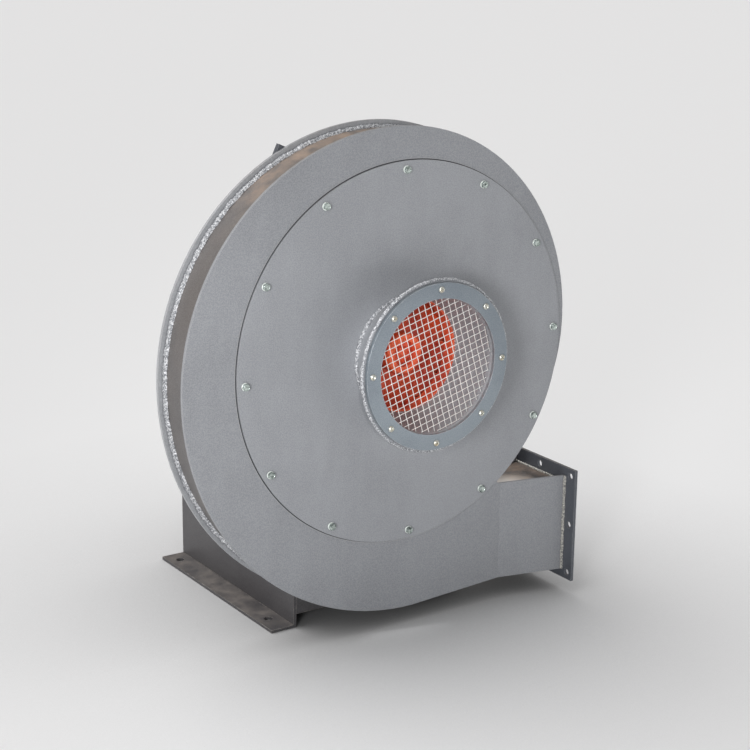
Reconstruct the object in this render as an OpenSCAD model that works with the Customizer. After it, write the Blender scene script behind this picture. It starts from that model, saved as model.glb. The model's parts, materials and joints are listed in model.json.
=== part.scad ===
// Industrial centrifugal blower: scroll casing, closed impeller and a foot motor on a sheet steel base.
// Millimetres. X points to the outlet, Y runs back along the shaft, Z is up.
// The origin is the centre of the four foot holes, on the floor.

/* [Base] */
// Height of the motor platform above the floor
base_h = 325; // [310:1:400]
// Width over the side plates
base_w = 302; // [290:1:340]
// Length of the side plates
base_len = 362; // [350:1:420]
// Thickness of the side plates, their foot flanges and the platform
base_t = 5; // [3:0.5:8]
// Width of each foot flange
foot_w = 40; // [34:1:60]
// Distance of the foot holes outside the side plates
foot_hole_out = 20.5; // [16:0.5:24]
// Distance from the front end of a foot to its first hole
foot_hole_front = 42; // [30:1:50]
// Distance from the rear end of a foot to its last hole
foot_hole_back = 28; // [20:1:50]
// Diameter of a foot hole
foot_hole_d = 14; // [9:0.5:18]
// Height of the gap under the cross panels
panel_gap = 22; // [10:1:40]
// Thickness of the cross panels
panel_t = 4; // [3:0.5:6]
// Distance of the casing bolts inside the base's sides
casing_bolt_in = 41; // [39:1:60]
// Height of the lowest casing bolts above the casing's lowest point
casing_bolt_up = 57; // [50:1:70]
// Distance of the top casing bolts below the platform
casing_bolt_drop = 45; // [30:1:60]
// Thread diameter of the casing bolts
casing_bolt_d = 8; // [6:1:10]

/* [Casing] */
// Radius of the opening behind the cover, through which the impeller passes
casing_open_r = 264; // [262:0.5:268]
// Radius of the scroll's first and smallest quarter over that of the opening
scroll_over = 59.5; // [54:0.5:64]
// Growth of the scroll from the first quarter to the second
scroll_step_z = 33; // [28:0.5:38]
// Growth of the scroll from the second quarter to the third
scroll_step_x = 40; // [34:0.5:46]
// Radius of the short quarter that runs down to the tongue over that of the opening
scroll_tail_over = 20.5; // [16:0.5:26]
// Place of the first quarter's centre left of the shaft
scroll_x = 22; // [18:0.5:26]
// Place of the first quarter's centre above the shaft
scroll_z = 20.5; // [17:0.5:24]
// Least width of the front plate round the opening, which carries the cover screws
core_over = 28; // [26:0.5:29]
// Overhang of the plates past the scroll wall
rim_w = 11; // [8:0.5:11.5]
// Thickness of the front and rear plates
plate_t = 5; // [4:0.5:6]
// Thickness of the scroll wall
wall_t = 3; // [2:0.5:3.5]
// Clear width between the plates
casing_w = 68; // [66:0.5:80]
// Radius of the shaft opening in the rear plate
shaft_open_r = 38; // [30:1:40]
// Leg of the weld beads on the scroll wall
scroll_bead = 4; // [2:0.5:5]

/* [Outlet] */
// Length of the duct from its bend to the outlet flange's face
outlet_run = 117; // [108:1:143]
// Height of the duct's plates
outlet_h = 161; // [155:0.5:165]
// Depth of the duct's lower plate edge below the opening behind the cover
outlet_drop = 136.5; // [132:0.5:140]
// Spread of each plate between the bend and the flange
outlet_spread = 26; // [15:0.5:35]
// Radius of the notch between the scroll and the duct
notch_r = 6.5; // [5:0.5:8]
// Width of the flange bars
flange_bar_w = 25; // [22:0.5:30]
// Thickness of the flange bars
flange_bar_t = 5; // [4:0.5:8]
// Distance of the flange holes from the bars' outer edges
flange_hole_inset = 12; // [8:0.5:12.5]
// Diameter of a flange hole
flange_hole_d = 11; // [7:0.5:12]
// Leg of the weld beads behind the flange
flange_bead = 4; // [2:0.5:5]

/* [Cover] */
// Lap of the cover plate round the opening
cover_over = 29; // [28:0.5:31]
// Thickness of the cover plate
cover_t = 3; // [2:0.5:4]
// Distance of the cover screws from the opening
cover_screw_over = 16; // [12:0.5:18]
// Number of cover screws
cover_screws_n = 12; // [8:1:16]
// Angle of the first cover screw above the outlet side
cover_screw_start = 1.33; // [0:0.01:20]
// Thread diameter of the cover screws
cover_screw_d = 6; // [5:0.5:8]
// Length of a cover screw under its head
cover_screw_len = 8; // [7:0.5:9]
// Width across flats of a cover screw's head
cover_head_w = 10; // [9:0.5:13]
// Height of a cover screw's head
cover_head_h = 4; // [3:0.5:6]
// Radius of a cover washer
cover_washer_r = 6; // [6:0.5:8]
// Thickness of a cover washer
cover_washer_t = 1.6; // [1:0.1:2]

/* [Inlet] */
// Distance of the inlet ring's face from the cover
inlet_len = 80; // [60:1:100]
// Outer radius of the inlet ring
ring_r = 126; // [124:0.5:135]
// Inner radius of the inlet ring
ring_open_r = 102.5; // [100:0.5:104]
// Thickness of the inlet ring
ring_t = 6; // [5:0.5:10]
// Radius of the circle of ring screws
ring_screw_circle = 116; // [113:0.5:117]
// Number of ring screws
ring_screws_n = 8; // [6:1:12]
// Angle of the first ring screw
ring_screw_start = -0.95; // [-10:0.05:10]
// Thread diameter of the ring screws
ring_screw_d = 5; // [4:0.5:6]
// Radius of a ring screw's head
ring_head_r = 4.8; // [4:0.1:6]
// Height of a ring screw's head
ring_head_h = 3; // [2:0.1:4]
// Inner radius of the collar where it meets the cover
collar_r = 88; // [86:0.5:89]
// Thickness of the collar
collar_t = 2.5; // [2:0.5:4]
// Reach of the collar's flange past the inlet ring
collar_flange_over = 4.5; // [2:0.5:8]
// Thickness of the collar's flange
collar_flange_t = 4; // [3:0.5:6]
// Leg of the weld bead at the foot of the collar
collar_bead = 5; // [3:0.5:7]
// Thickness of the nozzle
nozzle_t = 3; // [2:0.5:4]
// Reach of the nozzle behind the cover's face
nozzle_len = 23; // [20:0.5:26]
// Pitch of the guard's wires
guard_pitch = 10.4; // [10.4:0.1:13]
// Diameter of a guard wire
guard_wire = 1.3; // [1:0.1:2]
// Lean of the guard's wires
guard_angle = 16; // [0:1:45]
// Distance of the guard behind the ring
guard_back = 3; // [0.5:0.5:6]

/* [Impeller] */
// Radius of the impeller
impeller_r = 250; // [240:1:255]
// Inner radius of the shroud's eye
eye_r = 92; // [91:0.5:93]
// Distance of the eye behind the cover's face
eye_y = 13; // [11:0.5:16]
// Thickness of the shroud
shroud_t = 3; // [2:0.5:4]
// Thickness of the back disc
disc_t = 4; // [3:0.5:5]
// Width of a blade at the impeller's rim
blade_tip_w = 29; // [24:0.5:30]
// Width of a blade at its inner end
blade_root_w = 41; // [36:0.5:41]
// Number of blades
blades_n = 12; // [8:1:16]
// Radius at which the blades start
blade_in_r = 96; // [94:1:110]
// Radius of a blade's curve
blade_curve_r = 190; // [170:1:220]
// Thickness of a blade
blade_t = 3; // [2:0.5:4]
// Radius of the hub's barrel
hub_r = 32; // [28:0.5:36]
// Length of the hub in front of the back disc
hub_front = 54; // [50:0.5:56]
// Radius of the hub's flange
hub_flange_r = 64; // [56:1:72]
// Thickness of the hub's flange
hub_flange_t = 8; // [5:0.5:10]
// Radius of the recess in the hub's nose
hub_recess_r = 20; // [18:0.5:24]
// Number of rivets
rivets_n = 6; // [4:1:8]
// Radius of the circle of rivets
rivet_circle = 49; // [46:0.5:52]
// Radius of a rivet's shank
rivet_r = 4; // [3:0.5:5]
// Radius of a rivet's head
rivet_head_r = 7; // [6:0.5:8]
// Height of a rivet's head
rivet_head_h = 3; // [2:0.5:4]
// Thickness of the shaft end washer
end_washer_t = 5; // [3:0.5:6]
// Thread diameter of the shaft end screw
end_screw_d = 10; // [8:1:12]

/* [Motor] */
// Height of the shaft above the motor's feet
motor_h = 112; // [112:1:132]
// Distance between motor foot holes across
motor_foot_x = 190; // [180:1:216]
// Distance between motor foot holes along
motor_foot_y = 140; // [130:1:150]
// Distance from the shaft's shoulder to the first foot holes
motor_foot_front = 70; // [68:1:75]
// Diameter of a motor foot hole
motor_foot_d = 12; // [11:0.5:14]
// Width over the motor's feet
motor_feet_w = 245; // [225:1:250]
// Thickness of the motor's feet
motor_foot_t = 12; // [8:0.5:16]
// Diameter of the shaft's end
shaft_d = 28; // [24:1:30]
// Length of the shaft's end
shaft_end = 60; // [55:1:64]
// Gap between the rear plate and the shaft's shoulder
shoulder_gap = 4; // [3.5:0.5:8]
// Length of the finned frame
frame_len = 190; // [185:1:200]
// Distance of the finned frame from the shoulder
frame_front = 45; // [42:1:48]
// Bore radius of the frame
frame_bore_r = 88; // [84:0.5:90]
// Thickness of the frame's wall
frame_t = 6; // [4:0.5:8]
// Radius over the fins
fin_r = 108; // [104:0.5:110]
// Number of fin places round the frame
fins_n = 32; // [20:4:40]
// Thickness of a fin
fin_t = 3; // [2:0.5:4]
// Distance from the shoulder to the fan cowl's back
motor_tail = 340; // [330:1:345]
// Radius of the fan cowl
cowl_r = 110; // [106:0.5:111]
// Thickness of the fan cowl
cowl_t = 1.5; // [1:0.5:2.5]
// Length of the stator core
core_len = 120; // [100:1:130]
// Bore radius of the stator core
core_bore_r = 55; // [50:0.5:60]
// Number of stator slots
slots_n = 24; // [18:6:36]
// Air gap between stator and rotor
air_gap = 0.5; // [0.4:0.1:1]
// Outer radius of a bearing
bearing_r = 36; // [34:0.5:40]
// Bore radius of a bearing
bearing_bore_r = 15; // [15:0.5:17]
// Width of a bearing
bearing_w = 19; // [16:0.5:20]
// Radius of a bearing ball
ball_r = 6; // [5:0.1:6.5]
// Number of balls in a bearing
balls_n = 8; // [6:1:9]
// Width of the terminal box
tbox_w = 112; // [100:1:120]
// Length of the terminal box
tbox_len = 100; // [90:1:110]
// Height of the terminal box with its lid
tbox_h = 52; // [44:1:56]

/* [Lug] */
// Width of the lifting lug
lug_w = 40; // [34:1:44]
// Length of the lifting lug
lug_len = 84; // [70:1:96]
// Thickness of the lifting lug
lug_t = 8; // [5:0.5:10]
// Lean of the lifting lug
lug_angle = 65; // [60:1:75]
// Angle of the lug's top corner round the scroll, from the outlet side
lug_place = 114.5; // [108:0.5:120]
// Reach of the lug's top corner past the plates' edge
lug_out = 7.8; // [4:0.1:12]

/* [Hidden] */
$fn = 96;

// One overrun for every cut, and the clearances that the fits share
over = 1;
seat_clear = 0.02;
screw_clear = 0.1;
hole_clear = 0.4;
run_clear = 0.3;

// Holes of the base, from its side plates
foot_pitch_x = base_w + 2 * foot_hole_out;
foot_pitch_y = base_len - foot_hole_front - foot_hole_back;
casing_bolt_x = base_w / 2 - casing_bolt_in;

// Radii round the opening behind the cover, and the scroll's and the duct's from them
cover_screw_circle = casing_open_r + cover_screw_over;
cover_r = casing_open_r + cover_over;
scroll_core_r = casing_open_r + core_over;
scroll_r = casing_open_r + scroll_over;
scroll_tail_r = casing_open_r + scroll_tail_over;
scroll_third_r = scroll_r + scroll_step_z + scroll_step_x;
scroll_low_z = scroll_z - scroll_step_z;
outlet_low = casing_open_r + outlet_drop;
outlet_top = outlet_low - outlet_h;

// Centre of the notch's round, which touches the core circle and the duct's upper edge.
// The duct bends at the next whole millimetre past it.
notch_z = -outlet_top + notch_r;
notch_x = sqrt(pow(scroll_core_r + notch_r, 2) - pow(notch_z, 2));
outlet_bend_x = ceil(notch_x);
outlet_x = outlet_bend_x + outlet_run;

// The lug's top corner, left of the shaft and above it
lug_reach = scroll_r + scroll_step_z + lug_out;
lug_x = scroll_x - lug_reach * cos(lug_place);
lug_z = scroll_low_z + lug_reach * sin(lug_place);

// Places along the shaft, from the base's front end forwards
shaft_z = base_h + motor_h;
casing_bolt_z = shaft_z + scroll_low_z - scroll_third_r + casing_bolt_up;
casing_bolt_pitch = (base_h - base_t - casing_bolt_drop - casing_bolt_z) / 2;
back_y = -foot_pitch_y / 2 - foot_hole_front;
rear_y = back_y - plate_t;
front_y = rear_y - casing_w;
cover_y = front_y - plate_t;
face_y = cover_y - cover_t;
ring_y = face_y - inlet_len;
mid_y = (rear_y + front_y) / 2;
base_end_y = back_y + base_len;

// Places along the shaft, from the shaft's shoulder backwards
shoulder_y = back_y + shoulder_gap;
tip_y = shoulder_y - shaft_end;
frame_y = shoulder_y + frame_front;
frame_end_y = frame_y + frame_len;
foot1_y = shoulder_y + motor_foot_front;
foot2_y = foot1_y + motor_foot_y;
tail_y = shoulder_y + motor_tail;
core_y = (frame_y + frame_end_y) / 2 - core_len / 2;

// The impeller, from the eye backwards
disc_y = face_y + eye_y + shroud_t + blade_root_w + shroud_t;
hub_y = disc_y - hub_front;

// Colours of the photograph's finishes
grey = [0.56, 0.57, 0.59];
dark_grey = [0.36, 0.38, 0.41];
zinc = [0.75, 0.75, 0.72];
red = [0.72, 0.20, 0.10];
motor_blue = [0.30, 0.34, 0.40];
copper = [0.72, 0.42, 0.22];
steel = [0.62, 0.62, 0.63];
bead_grey = [0.66, 0.66, 0.66];

// Turns a drawing in X and height about the shaft into a plate whose back face is at y
module plate_at(y, t) {
    translate([0, y, shaft_z])
        rotate([90, 0, 0])
            linear_extrude(t)
                children();
}

// Turns an outline of radius and Y about the shaft
module spin_y() {
    translate([0, 0, shaft_z])
        rotate([-90, 0, 0])
            rotate_extrude()
                children();
}

// A round bar along Y, from y over a length
module bar_y(r, y, len) {
    translate([0, y, 0])
        rotate([-90, 0, 0])
            cylinder(r = r, h = len);
}

// A hexagon head along Y, from y over a height
module hex_y(across, y, h) {
    translate([0, y, 0])
        rotate([-90, 0, 0])
            cylinder(d = across / cos(30), h = h, $fn = 6);
}

// Places copies on a circle about the shaft, in X and height
module ring_of(count, r, start) {
    for (i = [0 : count - 1]) {
        a = start + 360 * i / count;
        translate([r * cos(a), 0, shaft_z + r * sin(a)])
            children();
    }
}

// Hole centres of a circle, in X and height about the shaft
module holes_2d(count, circle_r, start, r) {
    for (i = [0 : count - 1]) {
        a = start + 360 * i / count;
        translate([circle_r * cos(a), circle_r * sin(a)])
            circle(r = r);
    }
}

// One quarter of a circle about (x, z), to the side that sx and sz name
module quarter(x, z, r, sx, sz) {
    translate([x, z])
        intersection() {
            circle(r = r);
            translate([sx < 0 ? -r - over : 0, sz < 0 ? -r - over : 0])
                square(r + over);
        }
}

// The scroll's area drawn in from the plates' edge by inset, up to end_x in the duct
module scroll_area(inset, end_x) {
    left_x = -scroll_x + scroll_step_x;
    difference() {
        union() {
            quarter(-scroll_x, scroll_z, scroll_r - inset, 1, 1);
            quarter(-scroll_x, scroll_low_z, scroll_r + scroll_step_z - inset, -1, 1);
            quarter(left_x, scroll_low_z, scroll_third_r - inset, -1, -1);
            quarter(scroll_r - scroll_x - scroll_tail_r, scroll_z, scroll_tail_r - inset, 1, -1);
            circle(r = scroll_core_r - inset);
            polygon([
                [0, 0],
                [left_x, scroll_low_z],
                [left_x, scroll_low_z - scroll_third_r + inset],
                [outlet_bend_x, -outlet_low + inset],
                [end_x, -outlet_low + inset],
                [end_x, -outlet_top - inset],
                [notch_x, -outlet_top - inset],
                [notch_x, notch_z]
            ]);
        }
        translate([notch_x, notch_z])
            circle(r = notch_r + inset);
    }
}

// Duct plate that leans out from the bend to the flange; side is -1 in front and 1 behind
flange_back_x = outlet_x - flange_bar_t;
duct_half_y = casing_w / 2 + plate_t + outlet_spread;
module leaning_plate(side) {
    translate([0, mid_y, shaft_z - outlet_low])
        linear_extrude(outlet_low - outlet_top)
            polygon([
                [outlet_bend_x, side * casing_w / 2],
                [flange_back_x, side * (casing_w / 2 + outlet_spread)],
                [flange_back_x, side * duct_half_y],
                [outlet_bend_x, side * (casing_w / 2 + plate_t)]
            ]);
}

// Duct wall between the leaning plates, with its lower face at z about the shaft
module duct_wall(z) {
    translate([0, mid_y, shaft_z + z])
        linear_extrude(wall_t)
            polygon([
                [outlet_bend_x, -casing_w / 2],
                [flange_back_x, -casing_w / 2 - outlet_spread],
                [flange_back_x, casing_w / 2 + outlet_spread],
                [outlet_bend_x, casing_w / 2]
            ]);
}

module casing_front_plate() {
    color(grey)
        union() {
            plate_at(front_y, plate_t)
                difference() {
                    scroll_area(0, outlet_bend_x);
                    circle(r = casing_open_r);
                    holes_2d(cover_screws_n, cover_screw_circle, cover_screw_start,
                        cover_screw_d / 2 + screw_clear);
                }
            leaning_plate(-1);
        }
}

module casing_rear_plate() {
    color(grey)
        union() {
            plate_at(back_y, plate_t)
                difference() {
                    scroll_area(0, outlet_bend_x);
                    circle(r = shaft_open_r);
                    holes_2d(seal_screws_n, seal_circle, 45, seal_screw_r + screw_clear);
                    casing_bolt_places_2d()
                        circle(r = casing_bolt_d / 2 + hole_clear);
                }
            leaning_plate(1);
        }
}

module scroll_wall() {
    color(grey)
        union() {
            plate_at(rear_y, casing_w)
                difference() {
                    scroll_area(rim_w, outlet_bend_x);
                    scroll_area(rim_w + wall_t, outlet_bend_x + over);
                }
            duct_wall(-outlet_top - rim_w - wall_t);
            duct_wall(-outlet_low + rim_w);
        }
}

// Beads in the outer corners between the scroll wall and the two plates
module scroll_welds() {
    color(bead_grey)
        for (y = [rear_y, front_y + scroll_bead])
            plate_at(y, scroll_bead)
                difference() {
                    scroll_area(rim_w - scroll_bead, outlet_bend_x);
                    scroll_area(rim_w, outlet_bend_x + over);
                }
}

// Half sizes of the duct and of the flange, and the height of their centre
duct_half_z = (outlet_low - outlet_top) / 2 - rim_w;
duct_mid_z = shaft_z - (outlet_low + outlet_top) / 2;
flange_half_y = duct_half_y + flange_bar_w;
flange_half_z = duct_half_z + flange_bar_w;
flange_hole_y = flange_half_y - flange_hole_inset;
flange_hole_z = flange_half_z - flange_hole_inset;

module outlet_flange() {
    color(dark_grey)
        difference() {
            union() {
                for (side = [-1, 1]) {
                    translate([flange_back_x, mid_y + side * (duct_half_y + flange_bar_w / 2), duct_mid_z])
                        centred_bar(flange_bar_w, 2 * flange_half_z);
                    translate([flange_back_x, mid_y, duct_mid_z + side * (duct_half_z + flange_bar_w / 2)])
                        centred_bar(2 * duct_half_y, flange_bar_w);
                }
            }
            for (i = [-1 : 1])
                for (j = [-1 : 1])
                    if (i != 0 || j != 0)
                        translate([flange_back_x - over, mid_y, duct_mid_z])
                            translate([0, i * flange_hole_y, j * flange_hole_z])
                                rotate([0, 90, 0])
                                    cylinder(d = flange_hole_d, h = flange_bar_t + 2 * over);
        }
}

// A flat bar of the flange, centred in Y and Z
module centred_bar(len_y, len_z) {
    translate([0, -len_y / 2, -len_z / 2])
        cube([flange_bar_t, len_y, len_z]);
}

// Beads behind the flange, along the leaning plates and over the duct walls
module outlet_welds() {
    color(bead_grey) {
        for (side = [-1, 1])
            translate([0, mid_y, shaft_z - outlet_low])
                linear_extrude(outlet_low - outlet_top)
                    polygon([
                        [flange_back_x, side * duct_half_y],
                        [flange_back_x, side * (duct_half_y + flange_bead)],
                        [flange_back_x - flange_bead, side * lean_y(flange_back_x - flange_bead)]
                    ]);
        for (side = [-1, 1])
            translate([0, mid_y - lean_y(flange_back_x - flange_bead) + plate_t, duct_mid_z + side * duct_half_z])
                mirror([0, 0, side < 0 ? 1 : 0])
                    rotate([-90, 0, 0])
                        linear_extrude(2 * (lean_y(flange_back_x - flange_bead) - plate_t))
                            polygon([
                                [flange_back_x, 0],
                                [flange_back_x, -flange_bead],
                                [flange_back_x - flange_bead, 0]
                            ]);
    }
}

// Outer face of a leaning plate at x, from the casing's middle
function lean_y(x) = casing_w / 2 + plate_t
    + outlet_spread * (x - outlet_bend_x) / (flange_back_x - outlet_bend_x);

module cover_plate() {
    color(grey)
        plate_at(cover_y, cover_t)
            difference() {
                circle(r = cover_r);
                circle(r = collar_r);
                holes_2d(cover_screws_n, cover_screw_circle, cover_screw_start,
                    cover_screw_d / 2 + hole_clear);
            }
}

module cover_screws() {
    color(zinc)
        ring_of(cover_screws_n, cover_screw_circle, cover_screw_start) {
            hex_y(cover_head_w, face_y - cover_washer_t - cover_head_h, cover_head_h);
            bar_y(cover_screw_d / 2, face_y - cover_washer_t, cover_screw_len);
        }
}

module cover_washers() {
    color(zinc)
        ring_of(cover_screws_n, cover_screw_circle, cover_screw_start)
            difference() {
                bar_y(cover_washer_r, face_y - cover_washer_t, cover_washer_t);
                bar_y(cover_screw_d / 2 + screw_clear, face_y - cover_washer_t - over, cover_washer_t + 2 * over);
            }
}

// The collar is a cone that narrows from its flange, behind the ring, to the cover
module inlet_collar() {
    flange_y = ring_y + ring_t;
    flange_r = ring_r + collar_flange_over;
    color(grey)
        difference() {
            spin_y()
                polygon([
                    [ring_open_r, flange_y],
                    [flange_r, flange_y],
                    [flange_r, flange_y + collar_flange_t],
                    [collar_outer(face_y - flange_y - collar_flange_t), flange_y + collar_flange_t],
                    [collar_outer(0), face_y],
                    [collar_r, face_y]
                ]);
            ring_of(ring_screws_n, ring_screw_circle, ring_screw_start)
                bar_y(ring_screw_d / 2 + screw_clear, flange_y - over, collar_flange_t + 2 * over);
        }
}

// Outer radius of the collar at a distance in front of the cover
function collar_outer(d) = collar_r + collar_t + (ring_open_r - collar_r) * d / (inlet_len - ring_t);

module collar_weld() {
    color(bead_grey)
        spin_y()
            polygon([
                [collar_outer(0), face_y],
                [collar_outer(0) + collar_bead, face_y],
                [collar_outer(collar_bead), face_y - collar_bead]
            ]);
}

module inlet_ring() {
    color(dark_grey)
        plate_at(ring_y + ring_t, ring_t)
            difference() {
                circle(r = ring_r);
                circle(r = ring_open_r);
                holes_2d(ring_screws_n, ring_screw_circle, ring_screw_start,
                    ring_screw_d / 2 + screw_clear);
            }
}

// Share of a pan head's radius that is left at its top
pan_share = 0.8;

// Pan head screws with a cross recess
module ring_screws() {
    recess_w = ring_screw_d / 5;
    recess_len = ring_head_r;
    color(zinc)
        ring_of(ring_screws_n, ring_screw_circle, ring_screw_start)
            difference() {
                union() {
                    bar_y(ring_screw_d / 2, ring_y, ring_t + collar_flange_t);
                    translate([0, ring_y, 0])
                        rotate([90, 0, 0])
                            cylinder(r1 = ring_head_r, r2 = ring_head_r * pan_share, h = ring_head_h);
                }
                for (a = [0, 90])
                    rotate([0, a, 0])
                        translate([-recess_len / 2, ring_y - ring_head_h - over, -recess_w / 2])
                            cube([recess_len, over + ring_head_h / 2, recess_w]);
            }
}

// The guard's rim follows the collar's cone just behind the ring
guard_y = ring_y + ring_t + guard_back;
guard_r = ring_open_r - run_clear
    - (ring_open_r - collar_r) * (guard_back + guard_wire) / (inlet_len - ring_t);
// Share of a pitch that a gap's centre keeps from the guard's rim
rim_gap_share = 0.35;

module inlet_guard() {
    steps = ceil(guard_r / guard_pitch);
    gap = guard_pitch - guard_wire;
    color(zinc)
        plate_at(guard_y + guard_wire, guard_wire)
            rotate(guard_angle)
                difference() {
                    circle(r = guard_r);
                    intersection() {
                        circle(r = guard_r - guard_wire);
                        for (i = [-steps : steps])
                            for (j = [-steps : steps])
                                if (norm([i, j]) * guard_pitch < guard_r - guard_pitch * rim_gap_share)
                                    translate([i * guard_pitch - gap / 2, j * guard_pitch - gap / 2])
                                        square(gap);
                    }
                }
}

module inlet_nozzle() {
    color(red)
        spin_y()
            polygon([
                [collar_r - nozzle_t, face_y],
                [collar_r - seat_clear, face_y],
                [collar_r - seat_clear, face_y + nozzle_len],
                [collar_r - nozzle_t, face_y + nozzle_len]
            ]);
}

// Seal plate over the shaft opening, on the outside of the rear plate
seat_gap = 1;
seal_t = shoulder_gap - seat_gap;
seal_screws_n = 4;
seal_screw_r = 2.5;
seal_circle = shaft_open_r + 3 * seal_screw_r;
seal_r = seal_circle + 3 * seal_screw_r;
seal_head_r = 2 * seal_screw_r;
seal_head_h = seal_screw_r;

module shaft_seal_plate() {
    color(steel)
        plate_at(back_y + seal_t, seal_t)
            difference() {
                circle(r = seal_r);
                circle(r = shaft_d / 2 + 2 * seat_gap);
                holes_2d(seal_screws_n, seal_circle, 45, seal_screw_r + screw_clear);
            }
}

module seal_screws() {
    color(zinc)
        ring_of(seal_screws_n, seal_circle, 45) {
            bar_y(seal_head_r, back_y + seal_t, seal_head_h);
            bar_y(seal_screw_r, rear_y, plate_t + seal_t);
        }
}

// The lug is a flat bar on the back of the rear plate, with its top corner above the rim
module lifting_lug() {
    hole_r = lug_w / 4;
    color(dark_grey)
        plate_at(back_y + lug_t, lug_t)
            translate([-lug_x, lug_z])
                rotate(lug_angle)
                    difference() {
                        translate([-lug_len, -lug_w])
                            square([lug_len, lug_w]);
                        translate([-lug_w / 2, -lug_w / 2])
                            circle(r = hole_r);
                    }
}

// The shroud's inner face falls from the rim to the eye as the blades widen
shroud_rim_y = disc_y - blade_tip_w;
shroud_eye_y = disc_y - blade_root_w;

module impeller_shroud() {
    color(red)
        spin_y()
            polygon([
                [eye_r, face_y + eye_y],
                [eye_r + shroud_t, face_y + eye_y],
                [eye_r + shroud_t, shroud_eye_y - shroud_t],
                [impeller_r, shroud_rim_y - shroud_t],
                [impeller_r, shroud_rim_y],
                [eye_r, shroud_eye_y]
            ]);
}

// Distance between the centres of the impeller and of a blade's curve, so that the curve
// leaves the inner radius at the lean that the blade needs
blade_lean = 35;
blade_centre = sqrt(pow(blade_in_r, 2) + pow(blade_curve_r, 2)
    - 2 * blade_in_r * blade_curve_r * cos(blade_lean));

// Backward curved blades, for a wheel that turns anticlockwise seen from the inlet
module impeller_blades() {
    tip_r = impeller_r - blade_t / 2;
    color(red)
        intersection() {
            plate_at(disc_y, blade_root_w + over)
                intersection() {
                    difference() {
                        circle(r = tip_r);
                        circle(r = blade_in_r);
                    }
                    for (i = [0 : blades_n - 1])
                        rotate(360 * i / blades_n)
                            intersection() {
                                translate([blade_centre, 0])
                                    difference() {
                                        circle(r = blade_curve_r);
                                        circle(r = blade_curve_r - blade_t);
                                    }
                                translate([-impeller_r, 0])
                                    square(2 * impeller_r);
                            }
                }
            spin_y()
                polygon([
                    [eye_r, shroud_eye_y],
                    [impeller_r, shroud_rim_y],
                    [impeller_r, disc_y],
                    [eye_r, disc_y]
                ]);
        }
}

module impeller_back_disc() {
    color(red)
        plate_at(disc_y + disc_t, disc_t)
            difference() {
                circle(r = impeller_r);
                circle(r = hub_r + seat_clear);
                holes_2d(rivets_n, rivet_circle, 0, rivet_r + seat_clear);
            }
}

// The key lies in the shaft and reaches into the hub
key_w = 8;
key_h = 7;
key_in = 4;
key_len = 30;
end_gap = 6;
key_y = tip_y + end_gap;
module key_space(clear) {
    translate([-key_w / 2 - clear, key_y - clear, shaft_z + shaft_d / 2 - key_in - clear])
        cube([key_w + 2 * clear, key_len + 2 * clear, key_h + 2 * clear]);
}

module impeller_hub() {
    color(red)
        difference() {
            spin_y()
                polygon([
                    [shaft_d / 2 + seat_clear, tip_y - seat_clear],
                    [hub_recess_r, tip_y - seat_clear],
                    [hub_recess_r, hub_y],
                    [hub_r - hub_chamfer, hub_y],
                    [hub_r, hub_y + hub_chamfer],
                    [hub_r, disc_y - hub_flange_t],
                    [hub_flange_r, disc_y - hub_flange_t],
                    [hub_flange_r, disc_y],
                    [hub_r, disc_y],
                    [hub_r, disc_y + disc_t + hub_chamfer],
                    [shaft_d / 2 + seat_clear, disc_y + disc_t + hub_chamfer]
                ]);
            key_space(seat_clear);
            ring_of(rivets_n, rivet_circle, 0)
                bar_y(rivet_r + seat_clear, disc_y - hub_flange_t - over, hub_flange_t + 2 * over);
        }
}
hub_chamfer = 3;

module hub_rivets() {
    grip = hub_flange_t + disc_t;
    color(steel)
        ring_of(rivets_n, rivet_circle, 0) {
            bar_y(rivet_r, disc_y - hub_flange_t, grip);
            bar_y(rivet_head_r, disc_y + disc_t, rivet_head_h);
            translate([0, disc_y - hub_flange_t, 0])
                rotate([90, 0, 0])
                    cylinder(r1 = rivet_head_r, r2 = rivet_r, h = rivet_head_h);
        }
}

module shaft_key() {
    color(steel)
        key_space(0);
}

module shaft_end_washer() {
    color(steel)
        spin_y()
            polygon([
                [end_screw_d / 2 + screw_clear, tip_y - seat_clear - end_washer_t],
                [hub_recess_r - screw_clear, tip_y - seat_clear - end_washer_t],
                [hub_recess_r - screw_clear, tip_y - seat_clear],
                [end_screw_d / 2 + screw_clear, tip_y - seat_clear]
            ]);
}

// Length of the shaft end screw inside the shaft, and the size of its head
end_screw_in = 2 * end_screw_d;
end_head_w = 1.6 * end_screw_d;
end_head_h = 0.64 * end_screw_d;
module shaft_end_screw() {
    washer_y = tip_y - seat_clear - end_washer_t;
    color(zinc)
        translate([0, 0, shaft_z]) {
            hex_y(end_head_w, washer_y - end_head_h, end_head_h);
            bar_y(end_screw_d / 2, washer_y, end_washer_t + seat_clear + end_screw_in);
        }
}

// Bearings stand in the shields, one at each end of the shaft
bearing_inset = 14;
front_bearing_y = shoulder_y + bearing_inset;
rear_bearing_y = frame_end_y + bearing_inset;
core_step = 5;
fan_step = 3;
core_shaft_r = bearing_bore_r + core_step;
fan_seat_r = bearing_bore_r - fan_step;
fan_gap = 16;
fan_y = rear_bearing_y + bearing_w + fan_gap;
fan_len = 30;

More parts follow.
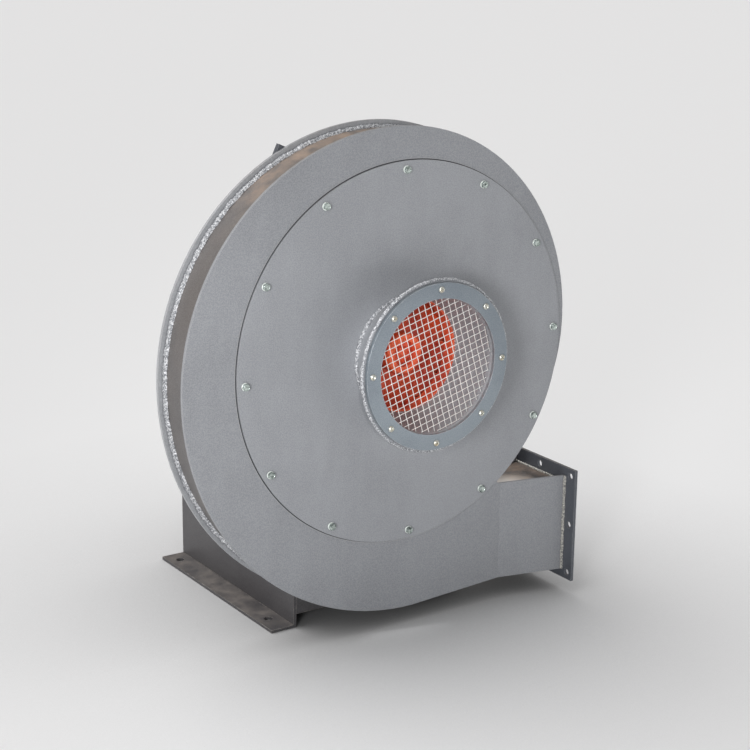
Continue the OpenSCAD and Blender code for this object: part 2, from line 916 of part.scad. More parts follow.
module motor_shaft() {
    color(steel)
        difference() {
            spin_y()
                polygon([
                    [0, tip_y],
                    [shaft_d / 2 - shaft_chamfer, tip_y],
                    [shaft_d / 2, tip_y + shaft_chamfer],
                    [shaft_d / 2, shoulder_y],
                    [bearing_bore_r, shoulder_y],
                    [bearing_bore_r, front_bearing_y + bearing_w],
                    [core_shaft_r, front_bearing_y + bearing_w],
                    [core_shaft_r, rear_bearing_y],
                    [bearing_bore_r, rear_bearing_y],
                    [bearing_bore_r, rear_bearing_y + bearing_w],
                    [fan_seat_r, rear_bearing_y + bearing_w],
                    [fan_seat_r, fan_y + fan_len],
                    [0, fan_y + fan_len]
                ]);
            key_space(seat_clear);
            translate([0, 0, shaft_z])
                bar_y(end_screw_d / 2 + screw_clear, tip_y - over, end_screw_in + 2 * over);
        }
}
shaft_chamfer = 1;

// Rotor core with a thicker ring at each end
rotor_ring_len = 14;
module rotor_core() {
    ring_in_r = core_shaft_r + rotor_ring_len / 2;
    ring_out_r = core_bore_r - air_gap - rotor_ring_len / 4;
    color(dark_grey)
        spin_y()
            polygon([
                [core_shaft_r + seat_clear, core_y],
                [ring_in_r, core_y],
                [ring_in_r, core_y - rotor_ring_len],
                [ring_out_r, core_y - rotor_ring_len],
                [ring_out_r, core_y],
                [core_bore_r - air_gap, core_y],
                [core_bore_r - air_gap, core_y + core_len],
                [ring_out_r, core_y + core_len],
                [ring_out_r, core_y + core_len + rotor_ring_len],
                [ring_in_r, core_y + core_len + rotor_ring_len],
                [ring_in_r, core_y + core_len],
                [core_shaft_r + seat_clear, core_y + core_len]
            ]);
}

// Slots open from the bore; they hold the windings
slot_depth = 18;
slot_w = 6;
module stator_core() {
    color(steel)
        plate_at(core_y + core_len, core_len)
            difference() {
                circle(r = frame_bore_r - seat_clear);
                circle(r = core_bore_r);
                for (i = [0 : slots_n - 1])
                    rotate(360 * i / slots_n)
                        translate([core_bore_r - over, -slot_w / 2])
                            square([slot_depth + over, slot_w]);
            }
}

// Winding overhangs at both ends of the core, with the straight sides in the slots
module stator_windings() {
    overhang = (frame_len - core_len) / 2 - rotor_ring_len / 2;
    wind_in_r = core_bore_r + slot_w / 2;
    wind_out_r = core_bore_r + slot_depth + slot_w / 2;
    corner = slot_w / 2;
    color(copper)
        union() {
            for (side = [0, 1])
                translate([0, side * (core_len + overhang) - overhang, 0])
                    spin_y()
                        polygon([
                            [wind_in_r + corner, core_y],
                            [wind_out_r - corner, core_y],
                            [wind_out_r, core_y + corner],
                            [wind_out_r, core_y + overhang - corner],
                            [wind_out_r - corner, core_y + overhang],
                            [wind_in_r + corner, core_y + overhang],
                            [wind_in_r, core_y + overhang - corner],
                            [wind_in_r, core_y + corner]
                        ]);
            plate_at(core_y + core_len + corner, core_len + 2 * corner)
                for (i = [0 : slots_n - 1])
                    rotate(360 * i / slots_n)
                        translate([wind_in_r, -slot_w / 2 + screw_clear])
                            square([slot_depth - slot_w / 2 - screw_clear, slot_w - 2 * screw_clear]);
        }
}

// Height range of the terminal box on the frame's crown
frame_r = frame_bore_r + frame_t;
tbox_z = shaft_z + fin_r;
foot_pad = 20;
tbox_y = foot1_y + tbox_len / 2 - foot_pad;
tbox_lid_t = 8;
tbox_wall = 4;
feet_web_w = 10;

// Finned frame: ribs stand across the sides, and a saddle carries the terminal box
module motor_frame() {
    color(motor_blue)
        difference() {
            union() {
                plate_at(frame_end_y, frame_len)
                    difference() {
                        union() {
                            circle(r = frame_r);
                            for (i = [0 : fins_n - 1])
                                rotate(360 * i / fins_n)
                                    translate([frame_bore_r + frame_t / 2, -fin_t / 2])
                                        square([fin_r - frame_bore_r - frame_t / 2, fin_t]);
                        }
                        circle(r = frame_bore_r);
                    }
                translate([-tbox_w / 2 + tbox_wall, tbox_y - tbox_len / 2 + tbox_wall, shaft_z + frame_r * saddle_share])
                    cube([tbox_w - 2 * tbox_wall, tbox_len - 2 * tbox_wall,
                        tbox_z - shaft_z - frame_r * saddle_share]);
                for (side = [-1, 1])
                    motor_foot(side);
                translate([0, eye_y_place, shaft_z + frame_bore_r + frame_t / 2])
                    cylinder(r = eye_boss_r, h = fin_r - frame_bore_r - frame_t / 2);
            }
            translate([0, 0, shaft_z])
                bar_y(frame_bore_r, frame_y - over, frame_len + 2 * over);
            for (x = [-1, 1])
                for (y = [foot1_y, foot2_y])
                    translate([x * motor_foot_x / 2, y, base_h - over])
                        cylinder(d = motor_foot_d, h = motor_foot_t + 2 * over);
            translate([0, eye_y_place, shaft_z + frame_r])
                cylinder(r = eye_shank_r + screw_clear, h = fin_r);
            for (y = [frame_y, frame_end_y - shield_screw_in])
                ring_of(shield_screws_n, shield_screw_circle, 45)
                    bar_y(shield_screw_r + screw_clear, y - over, shield_screw_in + 2 * over);
        }
}
// Share of the frame's radius at which the saddle starts, inside the wall
saddle_share = 0.85;

// A foot with the web that carries the frame on it
module motor_foot(side) {
    web_x = motor_foot_x / 2 - motor_foot_d - feet_web_w;
    mirror([side < 0 ? 1 : 0, 0, 0]) {
        translate([web_x, foot1_y - foot_pad, base_h])
            cube([motor_feet_w / 2 - web_x, motor_foot_y + 2 * foot_pad, motor_foot_t]);
        translate([web_x, foot1_y - foot_pad, base_h])
            cube([feet_web_w, motor_foot_y + 2 * foot_pad, motor_h - web_drop]);
    }
}
// Depth below the shaft at which the foot webs end, inside the frame's wall
web_drop = sqrt(pow(frame_bore_r + frame_t / 2, 2) - pow(motor_foot_x / 2 - motor_foot_d - feet_web_w, 2));

// End shields: a rim that covers the frame's end, a web and the bearing's housing
shield_rim_t = 10;
shield_web_t = 6;
shield_r = cowl_r - cowl_t - run_clear;
housing_t = 7;
shield_screws_n = 4;
shield_screw_r = 3;
shield_screw_in = 14;
shield_head_w = 10;
shield_head_h = 4;
shield_screw_circle = frame_r + shield_screw_r + over;
front_boss_y = shoulder_y + 2 * over;
rear_boss_y = rear_bearing_y + bearing_w + shield_web_t;

// Outline of a shield from its mating face to its boss, with y growing towards the boss
module shield_outline(depth, bearing_at) {
    polygon([
        [bearing_bore_r + 2 * over, depth],
        [bearing_r + housing_t, depth],
        [bearing_r + housing_t, shield_rim_t],
        [shield_r, shield_rim_t],
        [shield_r, 0],
        [bearing_r + seat_clear, 0],
        [bearing_r + seat_clear, bearing_at],
        [bearing_bore_r + 2 * over, bearing_at]
    ]);
}

module shield_screw_holes(y) {
    ring_of(shield_screws_n, shield_screw_circle, 45)
        bar_y(shield_screw_r + screw_clear, y - over, shield_rim_t + 2 * over);
}

module drive_end_shield() {
    color(motor_blue)
        difference() {
            translate([0, frame_y, shaft_z])
                rotate([90, 0, 0])
                    rotate_extrude()
                        shield_outline(frame_y - front_boss_y, frame_y - front_bearing_y);
            shield_screw_holes(frame_y - shield_rim_t);
        }
}

module rear_end_shield() {
    color(motor_blue)
        difference() {
            translate([0, frame_end_y, shaft_z])
                rotate([-90, 0, 0])
                    rotate_extrude()
                        shield_outline(rear_boss_y - frame_end_y, rear_bearing_y + bearing_w - frame_end_y);
            shield_screw_holes(frame_end_y);
        }
}

module end_shield_screws() {
    color(zinc) {
        ring_of(shield_screws_n, shield_screw_circle, 45) {
            hex_y(shield_head_w, frame_y - shield_rim_t - shield_head_h, shield_head_h);
            bar_y(shield_screw_r, frame_y - shield_rim_t, shield_rim_t + shield_screw_in);
        }
        ring_of(shield_screws_n, shield_screw_circle, 45) {
            hex_y(shield_head_w, frame_end_y + shield_rim_t, shield_head_h);
            bar_y(shield_screw_r, frame_end_y - shield_screw_in, shield_rim_t + shield_screw_in);
        }
    }
}

// Both bearings, with a round groove for the balls in each race
race_mid_r = (bearing_r + bearing_bore_r) / 2;
race_gap = 5;
ball_clear = 0.15;
groove_r = ball_r + 2 * ball_clear;
module race(inner_r, outer_r) {
    for (y = [front_bearing_y, rear_bearing_y])
        translate([0, y, 0])
            spin_y()
                difference() {
                    translate([inner_r, 0])
                        square([outer_r - inner_r, bearing_w]);
                    translate([race_mid_r, bearing_w / 2])
                        circle(r = groove_r);
                }
}

module bearing_outer_races() {
    color(steel)
        race(race_mid_r + race_gap / 2, bearing_r);
}

module bearing_inner_races() {
    color(steel)
        race(bearing_bore_r + seat_clear, race_mid_r - race_gap / 2);
}

module bearing_balls() {
    color(steel)
        for (y = [front_bearing_y, rear_bearing_y])
            ring_of(balls_n, race_mid_r, 0)
                translate([0, y + bearing_w / 2, 0])
                    sphere(r = ball_r);
}

// A thin ring round each row of balls, with a hole that keeps each ball apart
module bearing_cages() {
    cage_t = race_gap / 2;
    cage_w = bearing_w - race_gap;
    color(copper)
        for (y = [front_bearing_y, rear_bearing_y])
            difference() {
                translate([0, y + race_gap / 2, 0])
                    spin_y()
                        translate([race_mid_r - cage_t / 2, 0])
                            square([cage_t, cage_w]);
                for (i = [0 : balls_n - 1])
                    translate([0, y + bearing_w / 2, shaft_z])
                        rotate([0, -360 * i / balls_n, 0])
                            translate([race_mid_r - cage_t, 0, 0])
                                rotate([0, 90, 0])
                                    cylinder(r = ball_r + ball_clear, h = 2 * cage_t);
            }
}

// Fan with straight blades, for either turning direction
fan_r = 92;
fan_hub_r = 24;
fan_blades_n = 8;
fan_blade_t = 3;
module cooling_fan() {
    color([0.12, 0.12, 0.13])
        difference() {
            union() {
                translate([0, 0, shaft_z])
                    bar_y(fan_hub_r, fan_y, fan_len);
                plate_at(fan_y + fan_blade_t, fan_blade_t)
                    circle(r = fan_r);
                plate_at(fan_y + fan_len, fan_len)
                    for (i = [0 : fan_blades_n - 1])
                        rotate(360 * i / fan_blades_n)
                            translate([0, -fan_blade_t / 2])
                                square([fan_r - fan_blade_t, fan_blade_t]);
            }
            translate([0, 0, shaft_z])
                bar_y(fan_seat_r + seat_clear, fan_y - over, fan_len + 2 * over);
        }
}

// Cowl over the fan, open in front and slotted at the back
cowl_slots_n = 5;
cowl_slot_in = 26;
cowl_slot_w = 8;
cowl_spokes_n = 6;
cowl_spoke_w = 7;
cowl_lap = 8;
cowl_screw_r = 2.5;
module fan_cowl() {
    slot_pitch = (cowl_r - 2 * cowl_slot_w - cowl_slot_in) / cowl_slots_n;
    color(motor_blue)
        difference() {
            spin_y()
                polygon([
                    [cowl_r - cowl_t, frame_end_y + shield_rim_t - cowl_lap],
                    [cowl_r, frame_end_y + shield_rim_t - cowl_lap],
                    [cowl_r, tail_y],
                    [0, tail_y],
                    [0, tail_y - cowl_t],
                    [cowl_r - cowl_t, tail_y - cowl_t]
                ]);
            plate_at(tail_y + over, cowl_t + 2 * over)
                difference() {
                    for (i = [0 : cowl_slots_n - 1])
                        difference() {
                            circle(r = cowl_slot_in + i * slot_pitch + cowl_slot_w);
                            circle(r = cowl_slot_in + i * slot_pitch);
                        }
                    for (i = [0 : cowl_spokes_n - 1])
                        rotate(360 * i / cowl_spokes_n)
                            translate([0, -cowl_spoke_w / 2])
                                square([cowl_r, cowl_spoke_w]);
                }
            cowl_screw_places()
                cylinder(r = cowl_screw_r + screw_clear, h = 4 * over + cowl_t, center = true);
        }
}

// The cowl's screws stand in the rear shield's rim, at the sides and on top
module cowl_screw_places() {
    for (a = [0, 120, 240])
        translate([0, frame_end_y + shield_rim_t - cowl_lap / 2, shaft_z])
            rotate([0, a, 0])
                translate([0, 0, cowl_r])
                    children();
}

module cowl_screws() {
    color(zinc)
        cowl_screw_places() {
            translate([0, 0, -cowl_t])
                cylinder(r = cowl_screw_r, h = cowl_t);
            cylinder(r1 = 2 * cowl_screw_r, r2 = 1.6 * cowl_screw_r, h = cowl_screw_r);
        }
}

module terminal_box() {
    color(motor_blue)
        difference() {
            translate([-tbox_w / 2, tbox_y - tbox_len / 2, tbox_z])
                cube([tbox_w, tbox_len, tbox_h - tbox_lid_t]);
            translate([-tbox_w / 2 + tbox_wall, tbox_y - tbox_len / 2 + tbox_wall, tbox_z + tbox_wall])
                cube([tbox_w - 2 * tbox_wall, tbox_len - 2 * tbox_wall, tbox_h]);
            gland_place()
                translate([0, 0, -tbox_wall - over])
                    cylinder(r = gland_thread_r + screw_clear, h = tbox_wall + 2 * over);
        }
}

module terminal_box_lid() {
    color(motor_blue)
        difference() {
            translate([-tbox_w / 2, tbox_y - tbox_len / 2, tbox_z + tbox_h - tbox_lid_t])
                cube([tbox_w, tbox_len, tbox_lid_t]);
            lid_screw_places()
                translate([0, 0, -tbox_lid_t - over])
                    cylinder(r = lid_screw_r + screw_clear, h = tbox_lid_t + 2 * over);
        }
}

lid_screw_r = 2.5;
module lid_screw_places() {
    inset = 2 * tbox_wall;
    for (x = [-1, 1])
        for (y = [-1, 1])
            translate([x * (tbox_w / 2 - inset), tbox_y + y * (tbox_len / 2 - inset), tbox_z + tbox_h])
                children();
}

module lid_screws() {
    color(zinc)
        lid_screw_places() {
            translate([0, 0, -tbox_lid_t])
                cylinder(r = lid_screw_r, h = tbox_lid_t);
            cylinder(r = 2 * lid_screw_r, h = lid_screw_r);
        }
}

// Gland in the right wall of the terminal box; the cable enters its bore
gland_thread_r = 10;
gland_cable_r = 6;
gland_hex_w = 24;
gland_hex_t = 7;
gland_cap_len = 18;
module gland_place() {
    translate([tbox_w / 2, tbox_y, tbox_z + (tbox_h - tbox_lid_t) / 2])
        rotate([0, 90, 0])
            children();
}

module cable_gland() {
    color([0.2, 0.2, 0.21])
        gland_place()
            difference() {
                union() {
                    translate([0, 0, -tbox_wall])
                        cylinder(r = gland_thread_r, h = tbox_wall);
                    cylinder(d = gland_hex_w / cos(30), h = gland_hex_t, $fn = 6);
                    translate([0, 0, gland_hex_t])
                        cylinder(r1 = gland_thread_r + over, r2 = gland_cable_r + 2 * over,
                            h = gland_cap_len);
                }
                translate([0, 0, -tbox_wall - over])
                    cylinder(r = gland_cable_r, h = tbox_wall + gland_hex_t + gland_cap_len + 2 * over);
            }
}

// Eye bolt on the frame's crown, behind the terminal box
eye_ring_r = 15;
eye_wire_r = 5;
eye_shank_r = 5;
eye_boss_r = 12;
eye_y_place = foot2_y;
module eye_bolt() {
    collar_z = shaft_z + fin_r;
    color(zinc) {
        translate([0, eye_y_place, collar_z + 2 * eye_wire_r + eye_ring_r - eye_wire_r / 2])
            rotate([0, 90, 0])
                rotate_extrude()
                    translate([eye_ring_r, 0])
                        circle(r = eye_wire_r, $fn = 32);
        translate([0, eye_y_place, collar_z])
            cylinder(r = eye_boss_r - over, h = eye_wire_r + over);
        translate([0, eye_y_place, shaft_z + frame_r])
            cylinder(r = eye_shank_r, h = fin_r - frame_r);
    }
}

// Motor foot bolts pass the feet and the platform and end in nuts below
foot_bolt_r = motor_foot_d / 2 - over;
foot_bolt_head = 1.7 * 2 * foot_bolt_r;
foot_bolt_head_h = 0.64 * 2 * foot_bolt_r;
foot_washer_t = 2;
foot_nut_h = 0.8 * 2 * foot_bolt_r;
module foot_bolt_places() {
    for (x = [-1, 1])
        for (y = [foot1_y, foot2_y])
            translate([x * motor_foot_x / 2, y, base_h])
                children();
}

module motor_foot_bolts() {
    below = base_t + foot_nut_h + 2 * over;
    color(zinc)
        foot_bolt_places() {
            translate([0, 0, motor_foot_t + foot_washer_t])
                cylinder(d = foot_bolt_head / cos(30), h = foot_bolt_head_h, $fn = 6);
            translate([0, 0, -below])
                cylinder(r = foot_bolt_r, h = below + motor_foot_t + foot_washer_t);
        }
}

module motor_foot_washers() {
    color(zinc)
        foot_bolt_places()
            translate([0, 0, motor_foot_t])
                difference() {
                    cylinder(r = 2 * foot_bolt_r, h = foot_washer_t);
                    translate([0, 0, -over])
                        cylinder(r = foot_bolt_r + screw_clear, h = foot_washer_t + 2 * over);
                }
}

module motor_foot_nuts() {
    color(zinc)
        foot_bolt_places()
            translate([0, 0, -base_t - foot_nut_h])
                difference() {
                    cylinder(d = foot_bolt_head / cos(30), h = foot_nut_h, $fn = 6);
                    translate([0, 0, -over])
                        cylinder(r = foot_bolt_r + screw_clear, h = foot_nut_h + 2 * over);
                }
}

// A side of the base: an upright sheet with its foot bent outwards
module base_side(side) {
    color(grey)
        mirror([side < 0 ? 1 : 0, 0, 0])
            difference() {
                union() {
                    translate([base_w / 2 - base_t, back_y, 0])
                        cube([base_t, base_len, base_h - base_t]);
                    translate([base_w / 2 - base_t, back_y, 0])
                        cube([base_t + foot_w, base_len, base_t]);
                }
                for (y = [-1, 1])
                    translate([foot_pitch_x / 2, y * foot_pitch_y / 2, -over])
                        cylinder(d = foot_hole_d, h = base_t + 2 * over);
            }
}

module base_side_left() {
    base_side(-1);
}

module base_side_right() {
    base_side(1);
}

// Cross panels between the sides, under the platform
module cross_panel(y) {
    translate([-base_w / 2 + base_t, y, panel_gap])
        cube([base_w - 2 * base_t, panel_t, base_h - base_t - panel_gap]);
}

// Places of the casing bolts, in X and height about the shaft
module casing_bolt_places_2d() {
    for (x = [-1, 1])
        for (i = [0 : 2])
            translate([x * casing_bolt_x, casing_bolt_z + i * casing_bolt_pitch - shaft_z])
                children();
}

module casing_bolt_places() {
    for (x = [-1, 1])
        for (i = [0 : 2])
            translate([x * casing_bolt_x, 0, casing_bolt_z + i * casing_bolt_pitch])
                children();
}

module base_front_panel() {
    color(grey)
        difference() {
            cross_panel(back_y);
            casing_bolt_places()
                bar_y(casing_bolt_d / 2 + hole_clear, back_y - over, panel_t + 2 * over);
        }
}

module base_rear_panel() {
    color(grey)
        cross_panel(base_end_y - panel_t);
}

// Low round heads inside the casing, nuts behind the front panel
casing_nut_h = 0.8 * casing_bolt_d;
casing_head_h = 0.5 * casing_bolt_d;
module casing_bolts() {
    color(zinc)
        casing_bolt_places() {
            bar_y(casing_bolt_d, rear_y - casing_head_h, casing_head_h);
            bar_y(casing_bolt_d / 2, rear_y, plate_t + panel_t + casing_nut_h + 2 * over);
        }
}

module casing_nuts() {
    color(zinc)
        casing_bolt_places()
            difference() {
                hex_y(1.6 * casing_bolt_d, back_y + panel_t, casing_nut_h);
                bar_y(casing_bolt_d / 2 + screw_clear, back_y + panel_t - over, casing_nut_h + 2 * over);
            }
}

// Platform over the sides and panels, with the motor on it
module motor_platform() {
    color(grey)
        difference() {
            translate([-base_w / 2, back_y, base_h - base_t])
                cube([base_w, base_len, base_t]);
            foot_bolt_places()
                translate([0, 0, -base_t - over])
                    cylinder(r = foot_bolt_r + hole_clear, h = base_t + 2 * over);
        }
}

casing_front_plate();
casing_rear_plate();
scroll_wall();
scroll_welds();
outlet_flange();
outlet_welds();
cover_plate();
cover_screws();
cover_washers();
inlet_collar();
collar_weld();
inlet_ring();
ring_screws();
inlet_guard();
inlet_nozzle();
shaft_seal_plate();
seal_screws();
lifting_lug();
impeller_shroud();
impeller_blades();
impeller_back_disc();
impeller_hub();
hub_rivets();
shaft_key();
shaft_end_washer();
shaft_end_screw();
motor_shaft();
rotor_core();
stator_core();
stator_windings();
motor_frame();
drive_end_shield();
rear_end_shield();
end_shield_screws();
bearing_outer_races();
bearing_inner_races();
bearing_balls();
bearing_cages();
cooling_fan();
fan_cowl();
cowl_screws();
terminal_box();
terminal_box_lid();
lid_screws();
cable_gland();
eye_bolt();
motor_foot_bolts();
motor_foot_washers();
motor_foot_nuts();
base_side_left();
base_side_right();
base_front_panel();
base_rear_panel();
motor_platform();
casing_bolts();
casing_nuts();
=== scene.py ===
"""Looks of an industrial centrifugal blower: its finishes, wire guard, weld beads, screws and gland.

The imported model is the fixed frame. Lengths are metres; X points to the outlet, Y runs back
along the shaft and Z is up.
"""

import json
import logging
import math
import random
from dataclasses import dataclass, field
from enum import Enum
from typing import Sequence, Union

import bmesh
import bpy
from mathutils import Matrix, Vector, noise


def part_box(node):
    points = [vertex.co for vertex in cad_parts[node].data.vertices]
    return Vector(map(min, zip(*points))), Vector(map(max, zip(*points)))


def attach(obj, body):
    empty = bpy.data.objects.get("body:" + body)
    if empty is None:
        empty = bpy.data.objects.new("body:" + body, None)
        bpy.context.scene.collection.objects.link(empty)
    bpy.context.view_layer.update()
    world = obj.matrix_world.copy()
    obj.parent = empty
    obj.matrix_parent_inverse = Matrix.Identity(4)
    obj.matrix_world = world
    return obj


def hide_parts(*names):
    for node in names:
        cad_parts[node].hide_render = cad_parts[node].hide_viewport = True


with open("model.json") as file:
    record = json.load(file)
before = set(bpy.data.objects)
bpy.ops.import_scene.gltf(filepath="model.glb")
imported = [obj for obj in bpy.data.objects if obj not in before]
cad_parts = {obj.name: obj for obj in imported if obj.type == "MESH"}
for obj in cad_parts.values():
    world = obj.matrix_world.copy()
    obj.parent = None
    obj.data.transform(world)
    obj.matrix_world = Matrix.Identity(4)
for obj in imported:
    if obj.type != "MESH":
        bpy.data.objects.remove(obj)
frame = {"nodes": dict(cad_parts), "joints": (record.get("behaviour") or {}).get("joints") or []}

log = logging.getLogger("blower")

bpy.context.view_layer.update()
MM = 0.001
JOIN = 0.001 * MM
BLACK = (0.0, 0.0, 0.0)
WHITE = (1.0, 1.0, 1.0)
BEVEL_SAMPLES = 4
SHAFT_Z = frame["joints"][0]["pos_m"][2]
Points = list[Vector]
Faces = list[tuple[int, ...]]
Colour = tuple[float, float, float]
Xyz = tuple[float, float, float]


class Body(Enum):
    """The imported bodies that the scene's own pieces ride on."""

    FRAME = "frame"


class Slot(Enum):
    """The record's material slots of the scene's own pieces."""

    BEAD = "weld_bead"
    WIRE = "guard_wire"
    ZINC = "zinc"
    PLASTIC = "black_plastic"


class Weave(Enum):
    """The two families of the guard's wires."""

    WARP = 0
    WEFT = 1


def place(radius: float, angle: float, y: float) -> Vector:
    """Returns the point at a radius and an angle about the shaft, at y along it."""
    return Vector((radius * math.cos(angle), y, SHAFT_Z + radius * math.sin(angle)))


class Wire:
    """A socket of a material's nodes, on which arithmetic adds Math nodes."""

    def __init__(self, shader: "Shader", socket: bpy.types.NodeSocket) -> None:
        """Keeps the shader and the socket.

        Args:
            shader: The material's shader, which makes the nodes.
            socket: The output socket that this wire starts from.
        """
        self.shader = shader
        self.socket = socket

    def _math(self, operation: str, first: "Value", second: "Value" = 0.0) -> "Wire":
        """Adds a Math node.

        Args:
            operation: The Math node's operation.
            first: The first value.
            second: The second value.

        Returns:
            The wire of the node's result.
        """
        return self.shader.node("ShaderNodeMath", {"operation": operation}, {0: first, 1: second})

    def __add__(self, other: "Value") -> "Wire":
        """Returns the sum."""
        return self._math("ADD", self, other)

    __radd__ = __add__

    def __sub__(self, other: "Value") -> "Wire":
        """Returns the difference."""
        return self._math("SUBTRACT", self, other)

    def __rsub__(self, other: "Value") -> "Wire":
        """Returns the difference the other way round."""
        return self._math("SUBTRACT", other, self)

    def __mul__(self, other: "Value") -> "Wire":
        """Returns the product."""
        return self._math("MULTIPLY", self, other)

    __rmul__ = __mul__

    def __truediv__(self, other: "Value") -> "Wire":
        """Returns the quotient."""
        return self._math("DIVIDE", self, other)

    def __pow__(self, other: "Value") -> "Wire":
        """Returns the power."""
        return self._math("POWER", self, other)

    def clamped(self) -> "Wire":
        """Returns the value held between 0 and 1."""
        return self.shader.node("ShaderNodeClamp", {}, {"Value": self})

    def between(self, low: float, high: float) -> "Wire":
        """Maps a range onto 0 to 1.

        Args:
            low: The value that becomes 0.
            high: The value that becomes 1.

        Returns:
            The mapped value, held between 0 and 1.
        """
        settings = {"interpolation_type": "SMOOTHSTEP"}
        return self.shader.node("ShaderNodeMapRange", settings, {0: self, 1: low, 2: high, 3: 0.0, 4: 1.0})


Value = Union[Wire, float, Sequence[float]]


class Shader:
    """The node tree of one material or of the world, built from wires."""

    def __init__(self, name: str, owner: bpy.types.World | None = None) -> None:
        """Makes an empty material, or empties the owner's nodes.

        Args:
            name: The material's name.
            owner: The world whose nodes are built instead, if any.
        """
        self.owner = bpy.data.materials.new(name) if owner is None else owner
        self.owner.use_nodes = True
        self.tree = self.owner.node_tree
        self.tree.nodes.clear()

    def node(self, kind: str, settings: dict, inputs: dict, output: Union[int, str] = 0) -> Wire:
        """Adds one node.

        Args:
            kind: The node's type.
            settings: The node's own settings, which are set first.
            inputs: Socket names or numbers, with their values or wires.
            output: The socket that the wire starts from.

        Returns:
            The wire of that output socket.
        """
        made = self.tree.nodes.new(kind)
        for key, value in settings.items():
            setattr(made, key, value)
        for key, value in inputs.items():
            if isinstance(value, Wire):
                self.tree.links.new(value.socket, made.inputs[key])
            else:
                made.inputs[key].default_value = value
        return Wire(self, made.outputs[output])

    def position(self) -> Wire:
        """Returns the point on the piece, in metres."""
        return self.node("ShaderNodeTexCoord", {}, {}, "Object")

    def stretched(self, scale: Sequence[float]) -> Wire:
        """Returns the point on the piece, with each axis scaled."""
        return self.node("ShaderNodeVectorMath", {"operation": "MULTIPLY"}, {0: self.position(), 1: scale})

    def axis(self, vector: Wire, name: str) -> Wire:
        """Returns one part, X, Y or Z, of a vector."""
        return self.node("ShaderNodeSeparateXYZ", {}, {0: vector}, name)

    def noise(self, size: float, detail: float = 2.0, rough: float = 0.5,
              at: Wire | None = None) -> Wire:
        """Adds a noise.

        Args:
            size: The size of its spots in metres.
            detail: The number of finer layers.
            rough: The strength of the finer layers.
            at: The point, where it isn't the piece's own.

        Returns:
            The noise's value, about 0.5.
        """
        where = at or self.position()
        inputs = {"Vector": where, "Scale": 1.0 / size, "Detail": detail, "Roughness": rough}
        return self.node("ShaderNodeTexNoise", {}, inputs, "Fac")

    def beside(self, value: Wire, centre: float, half: float) -> Wire:
        """Returns a mask that is 1 where the value is at the centre and 0 from half away on."""
        off = value - centre
        return (1.0 - (off * off) ** 0.5 / half).clamped()

    def distance(self, point: Sequence[float]) -> Wire:
        """Returns the distance from a point."""
        inputs = {0: self.position(), 1: point}
        return self.node("ShaderNodeVectorMath", {"operation": "DISTANCE"}, inputs, "Value")

    def openness(self, reach: float, samples: int) -> Wire:
        """Returns how open the surface lies, from 0 in a corner to 1, seen within reach."""
        inputs = {"Distance": reach}
        return self.node("ShaderNodeAmbientOcclusion", {"samples": samples}, inputs, "AO")

    def edges(self, reach: float) -> Wire:
        """Returns a mask that is 1 where the surface turns sharply within reach."""
        soft = self.node("ShaderNodeBevel", {"samples": BEVEL_SAMPLES}, {"Radius": reach})
        flat = self.node("ShaderNodeNewGeometry", {}, {}, "Normal")
        same = self.node("ShaderNodeVectorMath", {"operation": "DOT_PRODUCT"}, {0: soft, 1: flat}, "Value")
        return (1.0 - same).between(0.01, 0.12)

    def upwards(self) -> Wire:
        """Returns a mask of the faces that look up, on which dirt settles and, on the wall, painted top
        light falls.
        """
        normal = self.node("ShaderNodeNewGeometry", {}, {}, "Normal")
        return self.axis(normal, "Z").between(0.55, 0.95)

    def mix(self, first: Value, second: Value, share: Value) -> Wire:
        """Mixes two colours.

        Args:
            first: The colour at share 0.
            second: The colour at share 1.
            share: The mask.

        Returns:
            The mixed colour.
        """
        pair = [tuple(c) + (1.0,) if isinstance(c, tuple) and len(c) == 3 else c for c in (first, second)]
        return self.node("ShaderNodeMix", {"data_type": "RGBA"}, {0: share, 6: pair[0], 7: pair[1]}, 2)

    def radius(self) -> Wire:
        """Returns the distance from the shaft."""
        at = self.position()
        height = self.axis(at, "Z") - SHAFT_Z
        return (self.axis(at, "X") ** 2.0 + height * height) ** 0.5

    def bump(self, height: Wire, depth: float, ease: float = 0.5 * MM) -> Wire:
        """Gives the surface a relief and rounds its edges.

        Args:
            height: The relief, from 0 to 1.
            depth: The depth over which it runs, in metres.
            ease: The radius of the rounded edges.

        Returns:
            The normal.
        """
        soft = self.node("ShaderNodeBevel", {"samples": BEVEL_SAMPLES}, {"Radius": ease})
        inputs = {"Height": height, "Distance": depth, "Strength": 1.0, "Normal": soft}
        return self.node("ShaderNodeBump", {}, inputs)

    def finish(self, sockets: dict) -> bpy.types.Material:
        """Ends the material.

        Args:
            sockets: The Principled BSDF's socket names with their values or wires.

        Returns:
            The material.
        """
        surface = self.node("ShaderNodeBsdfPrincipled", {}, sockets)
        self.node_out(surface)
        return self.owner

    def node_out(self, surface: Wire, kind: str = "ShaderNodeOutputMaterial") -> None:
        """Links a surface to an output node of that kind."""
        out = self.tree.nodes.new(kind)
        self.tree.links.new(surface.socket, out.inputs["Surface"])


